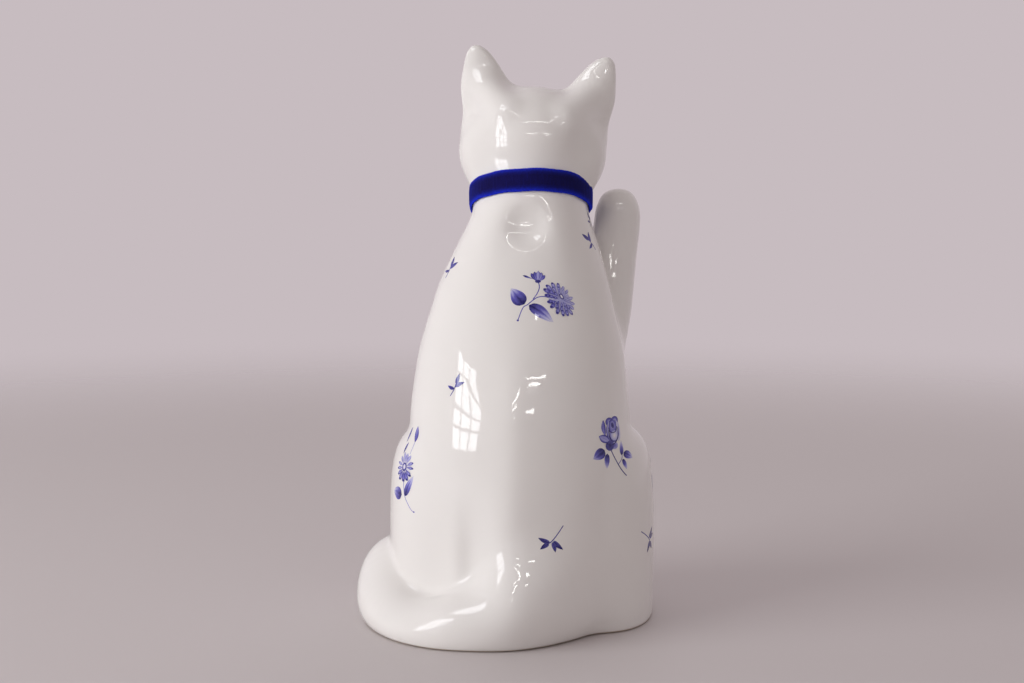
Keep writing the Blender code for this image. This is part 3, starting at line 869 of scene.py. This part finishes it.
def dahlia_spray(rng):
    stem = ((7.2, 3.2), (5, 3.2), (2.9, 2.6), (0.8, 1.1), (-1, -0.4), (-3.1, -1.9), (-5.3, -7.3))
    strokes = [
        line(stem, 0.44, 0.6, 0.1),
        line(((3.9, 9.6), (4.3, 7.2), (3.2, 4.4), (1.4, 2)), 0.42, 0.6, 0.1),
        spot((-5.3, -7.2), (0.5, 0.45), (0.9, 0.7)),
        leaf((-2.3, -0.2), (-7.8, 6.8), 6.4, 0.3),
        leaf((-0.4, -0.6), (10.2, -8), 5.2, 0.5),
        petal((1.8, 10.9), (-2.8, 12.6), 0.9, 1.8, tone=(0.5, 1)),
        petal((3.4, 9.9), (0.8, 13.4), 1.9, 1.5, tone=(0.5, 0.7), rim=0.4),
        petal((4.2, 9.9), (6.9, 12.6), 1.7, 1.5, tone=(0.4, 0.6), rim=0.4),
        petal((3.6, 9.8), (2.3, 14.2), 1.9, 1.5, tone=(0.3, 0.75), rim=0.4),
        petal((3.9, 9.8), (5.5, 13.9), 1.9, 1.5, tone=(0.3, 0.5), rim=0.5),
        petal((3.7, 9.7), (3.9, 14.4), 2.2, 1.5, tone=(0.25, 0.3), rim=0.55),
        spot((3.7, 9.9), (1.3, 0.7), (0.95, 0.8)),
    ]
    strokes += rosette(
        (13.7, 2.2), 8.8, 5.9, math.radians(-46),
        ((16, 0.5, 1, 1.9), (12, 0.34, 0.74, 1.5), (8, 0.16, 0.48, 1.2)),
        math.radians(205), rng,
    )
    strokes.append(spot((14.2, 3.4), (1.45, 0.8), (0.02, 1), math.radians(-52)))
    strokes.append(spot((14.2, 3.4), (0.9, 0.42), (0, 0.1), math.radians(-52)))
    return strokes


def rose_sprig(rng):
    return [
        line(((-2.4, -8.2), (-0.7, -13), (1.2, -17.6), (3.2, -20.8)), 0.42, 0.9, 0.1),
        line(((0.3, -15.2), (2.4, -12.8), (2.7, -9.6)), 0.3, 0.7),
        leaf((-5.4, -8), (-10.6, -11), 4.8, 0.2, (1, 0.2)),
        leaf((-4.3, -9.8), (-5, -16.2), 2.4),
        leaf((2.5, -11.8), (3.5, -5.2), 1.9),
        leaf((3.6, -10.8), (7.6, -13.9), 3.6, 0.1),
        leaf((2.6, -13.4), (3.8, -18.2), 1.7),
        petal((-4.4, -2.4), (-4.8, 4.6), 2, 1.2, 0.3, (0.55, 0.6), rim=0.4, fade=0.4),
        petal((-2, -5.2), (-7.4, -1.8), 3.4, 1.2, tone=(0.4, 0.4), rim=0.6),
        spot((1.9, -0.4), (1.9, 5), (0.35, 0.12), 0.08),
        spot((-1.9, 3.6), (1.9, 1.9), (0.2, 0.85)),
        spot((1, 3.9), (2, 1.8), (0.2, 0.85)),
        spot((-0.4, -0.6), (3.5, 5.1), (0.3, 0.8)),
        petal((-2.4, -4.6), (-2.2, 3.8), 2.2, 1, 0.3, (0.5, 0.15), rim=0.4),
        petal((1.6, -4.6), (2, 3.8), 2, 1, -0.3, (0.4, 0.1), rim=0.35),
        spot((-0.5, 1.3), (2.1, 2.9), (0.1, 0.7)),
        spot((-0.5, 1.8), (1.3, 2), (0.2, 0.5)),
        spot((-0.5, 1.9), (0.8, 1.3), (1, 0.8), 0.2),
        spot((0.1, -2.6), (2, 2.2), (0, 0.3)),
        line(((-2.6, 1.2), (-2.1, -0.6), (-0.7, -1.3), (1.1, -0.7), (1.9, 1.2)), 0.4, 0.95, 0.1),
        line(((-2.6, 0.2), (-2.5, -3), (-1.2, -5.2), (0.6, -5.2), (2, -3), (2.4, 0.6)), 0.45, 1, 0.1),
        spot((-0.3, -6.9), (1.7, 1.6), (0.6, 0.3)),
        spot((-2.7, -6.6), (2.1, 2.2), (1, 0.75)),
        line(((-4.2, -5.4), (-2.6, -6.4), (-0.2, -6), (1.2, -4.8)), 0.6, 0.95, 0.3),
    ]


def daisy_spray(rng):
    strokes = [
        line(((0.4, -5), (0.8, -8.4), (1.6, -12.4), (3.2, -15.6), (4.8, -18), (5.9, -18.6)), 0.3, 0.45, 0.2),
        line(((2.3, 11.6), (1.7, 8.4), (1.3, 6)), 0.25, 0.4),
        spot((5.8, -18.6), (0.35, 0.35), (0.8, 0.6)),
        leaf((0.2, -12.4), (-5.2, -12.2), 5.8, 0),
        leaf((1.8, -12.6), (4.6, -2.8), 2.4, 0.3),
        petal((2.3, 11.6), (3, 18.8), 1.9, 1, tone=(0.75, 0.35), rim=0.3),
        petal((-2.6, 10.8), (-0.2, 17.8), 1, 1, 0.4, (0.8, 0.7)),
        petal((-2.3, 5.4), (-1, 11), 0.9, 1, 0.2, (0.85, 0.7)),
    ]
    strokes += rosette((0, 0), 3.8, 6.4, 0, ((13, 0.28, 1, 1.6),), math.radians(278), rng, ground=0.05)
    strokes.append(spot((0, 0), (1.1, 1.9), (0.1, 0.95)))
    strokes.append(spot((0, 0), (0.6, 1.1), (0.03, 0.15)))
    return strokes


def four_leaf(rng):
    return [
        line(((-3.2, -0.8), (-0.6, -0.2), (2.2, 2.4), (5.4, 6.4)), 0.55, 0.8),
        leaf((-1, -0.4), (-5.8, 2), 1.9, 0.2, (0.75, 0.95)),
        leaf((-1.4, -0.8), (-5.4, -2.8), 1.9, -0.2, (0.75, 0.95)),
        leaf((0.2, -0.2), (1.2, -4.6), 2, 0.2, (0.75, 0.95)),
        leaf((0.6, 0.2), (4.8, -3.6), 2, -0.2, (0.75, 0.95)),
    ]


def three_leaf(rng):
    return [
        line(((0, 1), (-0.8, -1.8), (-2.4, -4.8)), 0.5, 0.75),
        leaf((0, 0.4), (0.8, 5.2), 1.9, 0, (0.7, 0.9)),
        leaf((-0.4, -0.6), (4, 1.6), 1.8, 0.2, (0.7, 0.9)),
        leaf((-0.8, -1.6), (-4.2, -0.4), 1.5, 0.2, (0.8, 0.6)),
    ]


SPRIGS = (
    # name, sprig, look, (across, up), turn in degrees, stretch, scale
    ("dahlia_back", dahlia_spray, "back", (-1.8, 144.1), 0, 1, 1),
    ("rose_right_haunch", rose_sprig, "back", (-38.2, 89.4), 0, 1.35, 1),
    ("daisy_left_haunch", daisy_spray, "back", (53, 71.4), 0, 1.9, 1),
    ("leaves_back", four_leaf, "back", (-11, 45.2), 0, 1, 1),
    ("leaves_left_back", three_leaf, "back", (29.6, 109.4), 0, 1, 1),
    ("leaves_left_shoulder", three_leaf, "back", (32.8, 158.8), 20, 1.4, 1),
    ("leaves_right_shoulder", three_leaf, "back", (-28.4, 170.6), 60, 1.2, 0.95),
    ("leaves_right_neck", three_leaf, "back", (-28.6, 180), 10, 1.2, 0.7),
    ("leaves_right_flank", four_leaf, "back", (-55.4, 38), 90, 1.6, 0.95),
    ("rose_left_flank", rose_sprig, "left", (-14, 58), -10, 1, 0.95),
    ("leaves_left_arm", three_leaf, "left", (-12, 128), 15, 1, 1),
    ("dahlia_right_flank", dahlia_spray, "right", (-6, 60), 10, 1, 0.9),
    ("leaves_right_arm", four_leaf, "right", (-4, 108), 40, 1, 1),
    ("daisy_chest", daisy_spray, "front", (14, 138), 12, 1.6, 0.85),
    ("leaves_chest", three_leaf, "front", (-16, 124), -20, 1, 1),
    ("leaves_left_haunch_front", four_leaf, "front", (42, 64), -15, 1.1, 1),
    ("rose_right_haunch_front", rose_sprig, "front", (-38, 58), 8, 1.05, 0.7),
    ("leaves_tail", three_leaf, "left", (-20, 22), 70, 1, 0.9),
)
rng = np.random.default_rng(7)
for name, sprig, look, at, turn, stretch, scale in SPRIGS:
    painted("cobalt_" + name, look, at, sprig(rng), math.radians(turn), stretch, scale)


def eye(side):
    """One calm almond eye; side is 1 on the cat's left."""

    def stroke(path, width, tone, taper):
        return line([(side * u, v) for u, v in path], width, tone, taper)

    return [
        petal((-side * 5, -1.2), (side * 5.4, 1.6), 6, tone=(0.16, 0.16)),
        spot((0, 0.4), (2.5, 2.7), (0.75, 0.5)),
        spot((0, 0.4), (0.9, 2.3), (1, 0.95)),
        spot((-0.9, 1.4), (0.6, 0.6), (0.05, 0.05)),
        stroke(((-5.4, -1.6), (-3, 2), (0, 3.5), (3.4, 3.3), (6.6, 2.3)), 0.9, 1, 0.1),
        stroke(((-5.2, -1.5), (-2, -2.2), (2, -1.8), (5.4, 1.5)), 0.45, 0.8, 0.2),
        stroke(((-4.4, 3.6), (-1, 5.6), (3.4, 5.8)), 0.4, 0.45, 0.5),
    ]


def whiskers(side):
    """Three whiskers and the dots they grow from."""
    strokes = []
    for rise in (-1.6, 0.2, 1.9):
        path = ((0, rise), (side * 6, rise * 1.6 + 0.4), (side * 14, rise * 2.4 - 0.6))
        strokes.append(line(path, 0.35, 0.55, 0.8))
    dots = ((-2.6, 1.2), (-3.6, -0.6), (-1.8, -1))
    return strokes + [spot((side * u, v), (0.32, 0.32), (0.8, 0.6)) for u, v in dots]


for side, name in ((1, "left"), (-1, "right")):
    painted(f"cobalt_{name}_eye", "front", (HEAD[0] + side * 12.4, 214.6), eye(side))
    painted(f"cobalt_{name}_whiskers", "front", (HEAD[0] + side * 9, 203.6), whiskers(side))
painted(
    "cobalt_nose",
    "front",
    (HEAD[0], 207),
    [
        petal((0, -2), (0, 2.6), 4.6, 1.3, tone=(0.75, 0.5), rim=0.2),
        line(((0, -1.8), (0, -4.6)), 0.5, 0.85, 0),
        line(((0, -4.4), (-2, -5.9), (-4.8, -4.6)), 0.5, 0.85, 0.5),
        line(((0, -4.4), (2, -5.9), (4.8, -4.6)), 0.5, 0.85, 0.5),
    ],
)

# ---------------------------------------------------------------- velvet ribbon
RIBBON_WIDTH, RIBBON_R, RIBBON_THICK = 10.6, 26.6, 1.0
KNOT, KNOT_GAP = (7.0, 7.0, 8.2), 0.3
THROAT = NECK + NECK_FRONT * (RIBBON_R + RIBBON_THICK + KNOT_GAP + KNOT[1] / 2)
# distance from the knot's middle, half depth, half height
BOW = ((0, 1.4, 2.1), (4.6, 1.6, 2.7), (7.5, 2.7, 4.5), (13.5, 3.2, 5.6), (18.8, 2.8, 4.4), (20.3, 2.1, 2.4))
BOW_BEND = 95.0  # the loops lean back by the square of the distance over this
LOOP_START, LOOP_REACH = 3.2, 16.6
PLY = 0.7  # thickness of the bow's ribbon
DIP, DIP_WIDTH = 2.98, 0.10  # where the band's lower edge is caught down, as an angle
SLACK, SLACK_WIDTH = 2.72, 0.22  # and where it is slack beside that


def grid_faces(rows, columns, wrap_rows=False, wrap_columns=False):
    made = []
    for i in range(rows if wrap_rows else rows - 1):
        for j in range(columns if wrap_columns else columns - 1):
            k, m = (i + 1) % rows, (j + 1) % columns
            made.append((i * columns + j, k * columns + j, k * columns + m, i * columns + m))
    return made


def grid_mesh(name, places, wrap_rows=False, wrap_columns=False, selvedge_and_sheen=None):
    """A smooth mesh from a grid of points in millimetres."""
    rows, columns = places.shape[:2]
    mesh = bpy.data.meshes.new(name)
    vertices = (places.reshape(-1, 3) * MM).tolist()
    mesh.from_pydata(vertices, [], grid_faces(rows, columns, wrap_rows, wrap_columns))
    # the optional mask holds the edges' own colour and painted sheen
    if selvedge_and_sheen is not None:
        mesh.attributes.new("selvedge_and_sheen", "FLOAT", "POINT").data.foreach_set("value", selvedge_and_sheen.ravel())
    mesh.shade_smooth()
    return mesh


def turns(steps):
    return 2 * math.pi * np.arange(steps) / steps


def squared(wave, power):
    """A sine or cosine pressed towards a square wave by a power below 1."""
    return np.sign(wave) * np.abs(wave) ** power


def from_neck(origin, across, front, up):
    """Points at distances from an origin along the neck's three directions."""
    return origin + across[..., None] * ACROSS + front[..., None] * NECK_FRONT + up[..., None] * NECK_UP


def ribbon_band():
    """The band round the neck: pile outside, rounded over both selvedges, with a small dip at the right."""
    t, p = grids(turns(520), turns(30))
    half = RIBBON_WIDTH / 2
    along = half * squared(np.cos(p), 0.42)
    proud = squared(np.sin(p), 0.55)
    crown = 0.25 * (1 - (along / half) ** 2)
    radius = RIBBON_R + RIBBON_THICK / 2 + proud * (RIBBON_THICK / 2) + np.where(proud > 0, crown, 0)
    dip = np.exp(-(((t - DIP) / DIP_WIDTH) ** 2))
    slack = np.exp(-(((t - SLACK) / SLACK_WIDTH) ** 2))
    along = along - np.where(along < 0, 1.5, 0.3) * dip - 0.35 * slack
    along = along - 0.7 * np.maximum(np.sin(t), 0) + 0.22 * np.sin(3 * t + 0.6) + 0.10 * np.sin(11 * t + 2.0)
    radius = radius + np.where(proud > 0, 0.45 * dip + 0.12 * np.sin(7 * t + 1.0) * (along / half), 0)
    rng = np.random.default_rng(3)
    pile = rng.normal(0, 0.05, t.shape)
    radius = radius + np.where(proud > 0, pile, 0)
    along = along + rng.normal(0, 0.05, t.shape) * (np.abs(np.cos(p)) > 0.75)
    places = from_neck(NECK, radius * np.cos(t), -radius * np.sin(t), along)
    # bright-blue mask: the edges' own colour plus painted sheen where the pile rounds over them, a painted
    # highlight on the dip, and painted sheen near the band's start at the cat's left, where it turns away
    edge = np.clip((np.abs(np.cos(p)) ** 0.42 - 0.45) / 0.55, 0, 1) ** 1.8
    sheen = 0.16 * np.exp(-(((t - 0.1) / 0.35) ** 2)) + rng.normal(0, 0.03, t.shape)
    return grid_mesh("ribbon_velvet", places, True, True, np.clip(edge + 0.35 * dip + sheen, 0, 1))


band = new_object("ribbon_velvet", ribbon_band(), velvet, "collar")
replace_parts(band, "ribbon_collar")


def thickened(obj):
    modifier = obj.modifiers.new("Thickness", "SOLIDIFY")
    modifier.thickness = PLY * MM
    modifier.offset = 0.0
    modifier.use_even_offset = False
    return obj


def bow_loop(side):
    """Ribbon folded out from the knot and back behind itself, gathered where the knot holds it."""
    reach_out, deep, tall = smoothed([(*row, 0, 0) for row in BOW], 8)[:, :3].T
    a, w = grids(np.linspace(0, 1, 72), np.linspace(-1, 1, 25))
    swing = math.pi * (a - 0.5)
    x = LOOP_START + LOOP_REACH * np.cos(swing) ** 0.9
    half_deep = np.interp(x, reach_out, deep) - 0.5
    half_tall = np.minimum(np.interp(x, reach_out, tall), RIBBON_WIDTH / 2) - 0.1
    depth = half_deep * np.sin(swing)
    gather = np.clip(1 - half_tall / (RIBBON_WIDTH / 2), 0, 1)
    pleat = (0.35 + 1.5 * gather) * 0.42 * np.cos(w * 2.6 * math.pi + 0.4 * side)
    pleat = pleat * np.clip((x - 3) / 3, 0.4, 1) * np.clip(1 - (x - 9) / 9, 0, 1)
    droop = 0.35 * np.sin(a * math.pi * 2 + side) * (x / 20)
    rng = np.random.default_rng(11 + side)
    front = depth + pleat - x * x / BOW_BEND + rng.normal(0, 0.03, x.shape)
    places = from_neck(THROAT, side * x, front, 0.4 + w * half_tall + droop)
    # edges brighter: partly their own colour, partly painted sheen where the pile rounds over them
    edge = np.clip((np.abs(w) - 0.82) / 0.18, 0, 1)
    return grid_mesh("bow_loop", places, selvedge_and_sheen=edge)


loops = []
for side, name in ((1, "left"), (-1, "right")):
    loop = thickened(new_object(f"bow_loop_{name}", bow_loop(side), velvet, "collar"))
    loops.append(loop)
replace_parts(loops[0], "bow_loops")


def knot_mesh():
    """The short length of ribbon that is wrapped round the loops' middle."""
    t, w = grids(turns(72), np.linspace(-1, 1, 21))
    belly = 1 - 0.16 * np.abs(w) ** 3
    fold = 1 + 0.045 * np.cos(w * 2.5 * math.pi)
    out = (KNOT[1] - PLY) / 2 * squared(np.cos(t), 0.7) * belly * fold
    rise = (KNOT[2] - PLY) / 2 * squared(np.sin(t), 0.7) * belly * fold
    places = from_neck(THROAT, w * (KNOT[0] / 2 - 0.2), out, rise)
    # edges brighter: partly their own colour, partly painted sheen where the pile rounds over them
    edge = np.clip((np.abs(w) - 0.8) / 0.2, 0, 1)
    return grid_mesh("bow_knot_wrap", places, wrap_rows=True, selvedge_and_sheen=edge)


knot = thickened(new_object("bow_knot_wrap", knot_mesh(), velvet, "collar"))
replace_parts(knot, "bow_knot")

# ---------------------------------------------------------------- brass bell and links
BELL_R, BELL_WALL, PELLET_R = 6.6, 0.6, 2.0
EYE_R, EYE_WIRE = 1.6, 0.40
RING_R, RING_WIRE = 2.5, 0.45
LOOP_R, LOOP_WIRE = 1.8, 0.45
LINK_PLAY, SHELL_GAP = 0.1, 0.3
SLOT_WIDTH, SLOT_LENGTH, SLOT_DEPTH, SLOT_END_R = 1.6, 8.8, 9.0, 1.5
CRIMP_OUT, CRIMP_WIDTH, CRIMP_RISE, CRIMP_STEP = 0.3, 0.28, 0.27, 0.15  # the rim where the shells meet
EYE_FORWARD, EYE_DROP = 0.4, 4.6
HANG = np.array([NECK[0], THROAT[1] - KNOT[1] / 2 - EYE_FORWARD, 0.0])
EYE_Z = THROAT[2] - EYE_DROP
RING_Z = EYE_Z - EYE_R + EYE_WIRE + RING_WIRE + LINK_PLAY - RING_R
LOOP_Z = RING_Z - RING_R + RING_WIRE + LOOP_WIRE + LINK_PLAY - LOOP_R
BELL_Z = LOOP_Z - LOOP_R - LOOP_WIRE - SHELL_GAP - BELL_R


def wire_ring(name, z, radius, wire, faces, body, node):
    """A ring of round wire that faces along X or Y."""
    a, b = grids(turns(72), turns(20))
    flat = radius + wire * np.cos(b)
    if faces == "Y":
        places = np.stack([flat * np.cos(a), wire * np.sin(b), flat * np.sin(a)], -1)
    else:
        places = np.stack([wire * np.sin(b), flat * np.sin(a), flat * np.cos(a)], -1)
    mesh = grid_mesh(name, places + HANG + z * UP, True, True)
    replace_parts(new_object(name, mesh, brass, body), node)


def shell_section(sign):
    """Half a bell in section: the crimped rim, the outside up to the pole, and back down the inside."""
    a = np.linspace(0, math.pi / 2, 26)
    rim = SHELL_GAP / 2
    outer = np.stack([BELL_R * np.cos(a), rim + (BELL_R - rim) * np.sin(a)], 1)
    inner_r = BELL_R - BELL_WALL
    inner = np.stack([inner_r * np.cos(a), rim + (inner_r - rim) * np.sin(a)], 1)[::-1]
    b = np.linspace(-math.pi / 2, math.pi / 2, 9)
    bead = np.stack([BELL_R + CRIMP_OUT + CRIMP_WIDTH * np.cos(b), rim + CRIMP_RISE * (1 + np.sin(b))], 1)
    outer = outer[outer[:, 1] > bead[-1, 1] + CRIMP_STEP]
    section = np.vstack([bead, outer, inner])
    section[:, 0] = np.maximum(section[:, 0], 0.002)
    return section * np.array([1, sign])


def shell(name, sign):
    radius, height = shell_section(sign).T
    t = turns(96)[:, None]
    places = np.stack([radius * np.cos(t), radius * np.sin(t), height + 0 * t], -1)
    return new_object(name, grid_mesh(name, places + HANG + BELL_Z * UP, True, True), brass, "bell")


wire_ring("eye_of_wire", EYE_Z, EYE_R, EYE_WIRE, "Y", "collar", "bell_eye")
wire_ring("split_ring", RING_Z, RING_R, RING_WIRE, "X", "ring", "bell_ring")
wire_ring("loop_of_wire", LOOP_Z, LOOP_R, LOOP_WIRE, "Y", "bell", "bell_loop")
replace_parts(shell("bell_top", 1), "bell_upper_shell")


def bell_bottom():
    """The lower shell, with the slot and its two round ends sawn through it."""
    made = shell("bell_bottom", -1)
    middle = Vector(HANG + (BELL_Z - BELL_R) * UP) * MM
    tools = []
    bpy.ops.mesh.primitive_cube_add(size=1.0, location=middle)
    bpy.context.object.scale = (SLOT_WIDTH * MM, SLOT_LENGTH * MM, SLOT_DEPTH * MM)
    tools.append(bpy.context.object)
    for end in (1, -1):
        place = middle + Vector((0, end * SLOT_LENGTH / 2 * MM, 0))
        bpy.ops.mesh.primitive_cylinder_add(
            radius=SLOT_END_R * MM, depth=SLOT_DEPTH * MM, vertices=48, location=place
        )
        tools.append(bpy.context.object)
    for tool in tools:
        modifier = made.modifiers.new("Slot", "BOOLEAN")
        modifier.operation, modifier.solver, modifier.object = "DIFFERENCE", "EXACT", tool
    bpy.context.view_layer.update()
    solid = bpy.data.meshes.new_from_object(made.evaluated_get(bpy.context.evaluated_depsgraph_get()))
    made.modifiers.clear()
    made.data = solid
    for tool in tools:
        bpy.data.objects.remove(tool)
    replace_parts(made, "bell_lower_shell")


bell_bottom()
a, b = grids(turns(48), np.linspace(0.02, math.pi - 0.02, 25))
ball = PELLET_R * np.stack([np.sin(b) * np.cos(a), np.sin(b) * np.sin(a), np.cos(b)], -1)
ball = ball + HANG + (BELL_Z - BELL_R + BELL_WALL + PELLET_R + SHELL_GAP) * UP
pellet = new_object("brass_pellet", grid_mesh("brass_pellet", ball, True), brass, "pellet")
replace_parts(pellet, "bell_pellet")

# ---------------------------------------------------------------- floor, light and camera
FIGURE = Vector((0.0, 0.0, 0.12))
FLOOR_NEAR, FLOOR_FAR = 0.35, 1.5


def glowing(name, color, strength):
    made, tree, shader = new_material(name)
    tree.nodes.remove(shader)
    glow = add_node(tree, "Emission", {"Color": (*color, 1.0), "Strength": strength})
    tree.links.new(glow.outputs[0], tree.nodes["Material Output"].inputs["Surface"])
    return made


def floor_material():
    """A pale matt floor that fades into the room's own light well away from the figure."""
    made, tree, shader = new_material("pale_floor")
    set_inputs(shader, {"Base Color": (0.60, 0.56, 0.56, 1.0), "Roughness": 0.6})
    away = add_node(tree, "VectorMath", operation="LENGTH")
    tree.links.new(coordinates(tree), away.inputs[0])
    fade = ranged(tree, away.outputs["Value"], FLOOR_NEAR, FLOOR_FAR, interpolation="SMOOTHERSTEP")
    clear = add_node(tree, "BsdfTransparent")
    blend = add_node(tree, "MixShader")
    fed(tree, blend, blend.inputs, (fade, shader.outputs[0], clear.outputs[0]))
    tree.links.new(blend.outputs[0], tree.nodes["Material Output"].inputs["Surface"])
    return made


bpy.ops.mesh.primitive_plane_add(size=4.0)
floor = bpy.context.object
floor.name = "floor"
floor.data.materials.append(floor_material())


def facing_figure(place):
    return (FIGURE - place).to_track_quat("-Z", "Y")


def lamp(name, size, location, power, color):
    """A rectangle of light aimed at the figure, which reflections don't see."""
    data = bpy.data.lights.new(name, "AREA")
    data.shape = "RECTANGLE"
    data.size, data.size_y = size
    data.energy, data.color = power, color
    placed(name, data, location, facing_figure(location).to_euler()).visible_glossy = False


def polar(azimuth, elevation, distance):
    """A place round the figure; azimuth 0 is behind it, and rises towards its left."""
    a, e = math.radians(azimuth), math.radians(elevation)
    way = Vector((math.sin(a) * math.cos(e), math.cos(a) * math.cos(e), math.sin(e)))
    return FIGURE + way * distance


def glass_pane(name, centre, facing, across, tall, material):
    """A bright rectangle that only reflections see."""
    mesh = bpy.data.meshes.new(name)
    corners = [(u * across / 2, v * tall / 2, 0) for u, v in ((-1, -1), (1, -1), (1, 1), (-1, 1))]
    mesh.from_pydata(corners, [], [(0, 1, 2, 3)])
    mesh.materials.append(material)
    obj = placed(name, mesh, centre, facing)
    obj.visible_camera = obj.visible_diffuse = obj.visible_shadow = False


PANE_W, PANE_H, BAR = 0.154, 0.13, 0.026
WINDOWS = {"low": (57.0, 12.5, 3, 4), "high": (57.0, 56.0, 4, 4)}  # azimuth, elevation, columns, rows
daylight = glowing("daylight", (0.96, 0.98, 1.0), 7.0)
for title, (azimuth, elevation, columns, rows) in WINDOWS.items():
    middle = polar(azimuth, elevation, 1.5)
    facing = facing_figure(middle)
    for i in range(columns):
        for j in range(rows):
            u, v = (i + 0.5 - columns / 2) * (PANE_W + BAR), (j + 0.5 - rows / 2) * (PANE_H + BAR)
            centre = middle + facing @ Vector((u, v, 0))
            glass_pane(f"{title}_pane_{i}_{j}", centre, facing.to_euler(), PANE_W, PANE_H, daylight)
lamp("window_light", (0.92, 0.80), polar(64.0, 16.0, 1.5), 14.0, (0.98, 0.99, 1.0))
lamp("room_fill", (1.6, 1.2), polar(-20.0, 40.0, 1.8), 0.8, (1.0, 0.93, 0.95))
lamp("front_fill", (1.4, 1.2), polar(200.0, 35.0, 1.8), 3.0, (1.0, 0.95, 0.96))

TUBE_ROWS = ((50.0, 1.2), (25.8, 1.5), (24.0, 2.3), (20.2, 3.2))  # elevation, distance
TUBE_PAIR = ((2.0, 6.0), (-23.0, -14.0))  # azimuth, turn
TUBE_LONG, TUBE_SHORTER = 0.46, 0.04  # the first row's length, and how much each row after it loses
TUBE_WIDTH = 0.012  # for each metre of distance
tube = glowing("tube_light", (1.0, 0.98, 0.95), 16.0)
for row, (elevation, distance) in enumerate(TUBE_ROWS):
    for k, (azimuth, turn) in enumerate(TUBE_PAIR):
        place = polar(azimuth, elevation, distance)
        turned = facing_figure(place).to_euler()
        turned.rotate_axis("Z", math.radians(turn))
        size = TUBE_LONG - TUBE_SHORTER * row, TUBE_WIDTH * distance
        glass_pane(f"tube_{row}_{k}", place, turned, *size, tube)

# the wall the cat looks at is paler than the rest of the room
DIM_WALL, PALE_WALL = (0.435, 0.392, 0.388), (0.571, 0.503, 0.527)
world = bpy.data.worlds.new("room")
world.use_nodes = True
tree = world.node_tree
axes = add_node(tree, "SeparateXYZ")
tree.links.new(add_node(tree, "TexCoord").outputs["Generated"], axes.inputs[0])
wall = ranged(tree, axes.outputs["Y"], 0.1, -0.75, interpolation="SMOOTHSTEP")
tree.links.new(mixed(tree, wall, DIM_WALL, PALE_WALL), tree.nodes["Background"].inputs["Color"])
set_inputs(tree.nodes["Background"], {"Strength": 1.0})
bpy.context.scene.world = world

CAMERA_AT, CAMERA_PITCH, LENS = Vector((5.8, 646.0, 184.6)) * MM, math.radians(5.25), 50.8
turned = (math.pi / 2 - CAMERA_PITCH, 0.0, math.pi)
camera = placed("camera", bpy.data.cameras.new("camera"), CAMERA_AT, turned)
camera.data.lens, camera.data.sensor_width = LENS, 36.0
bpy.context.scene.camera = camera
bpy.context.scene.view_settings.view_transform = "Standard"
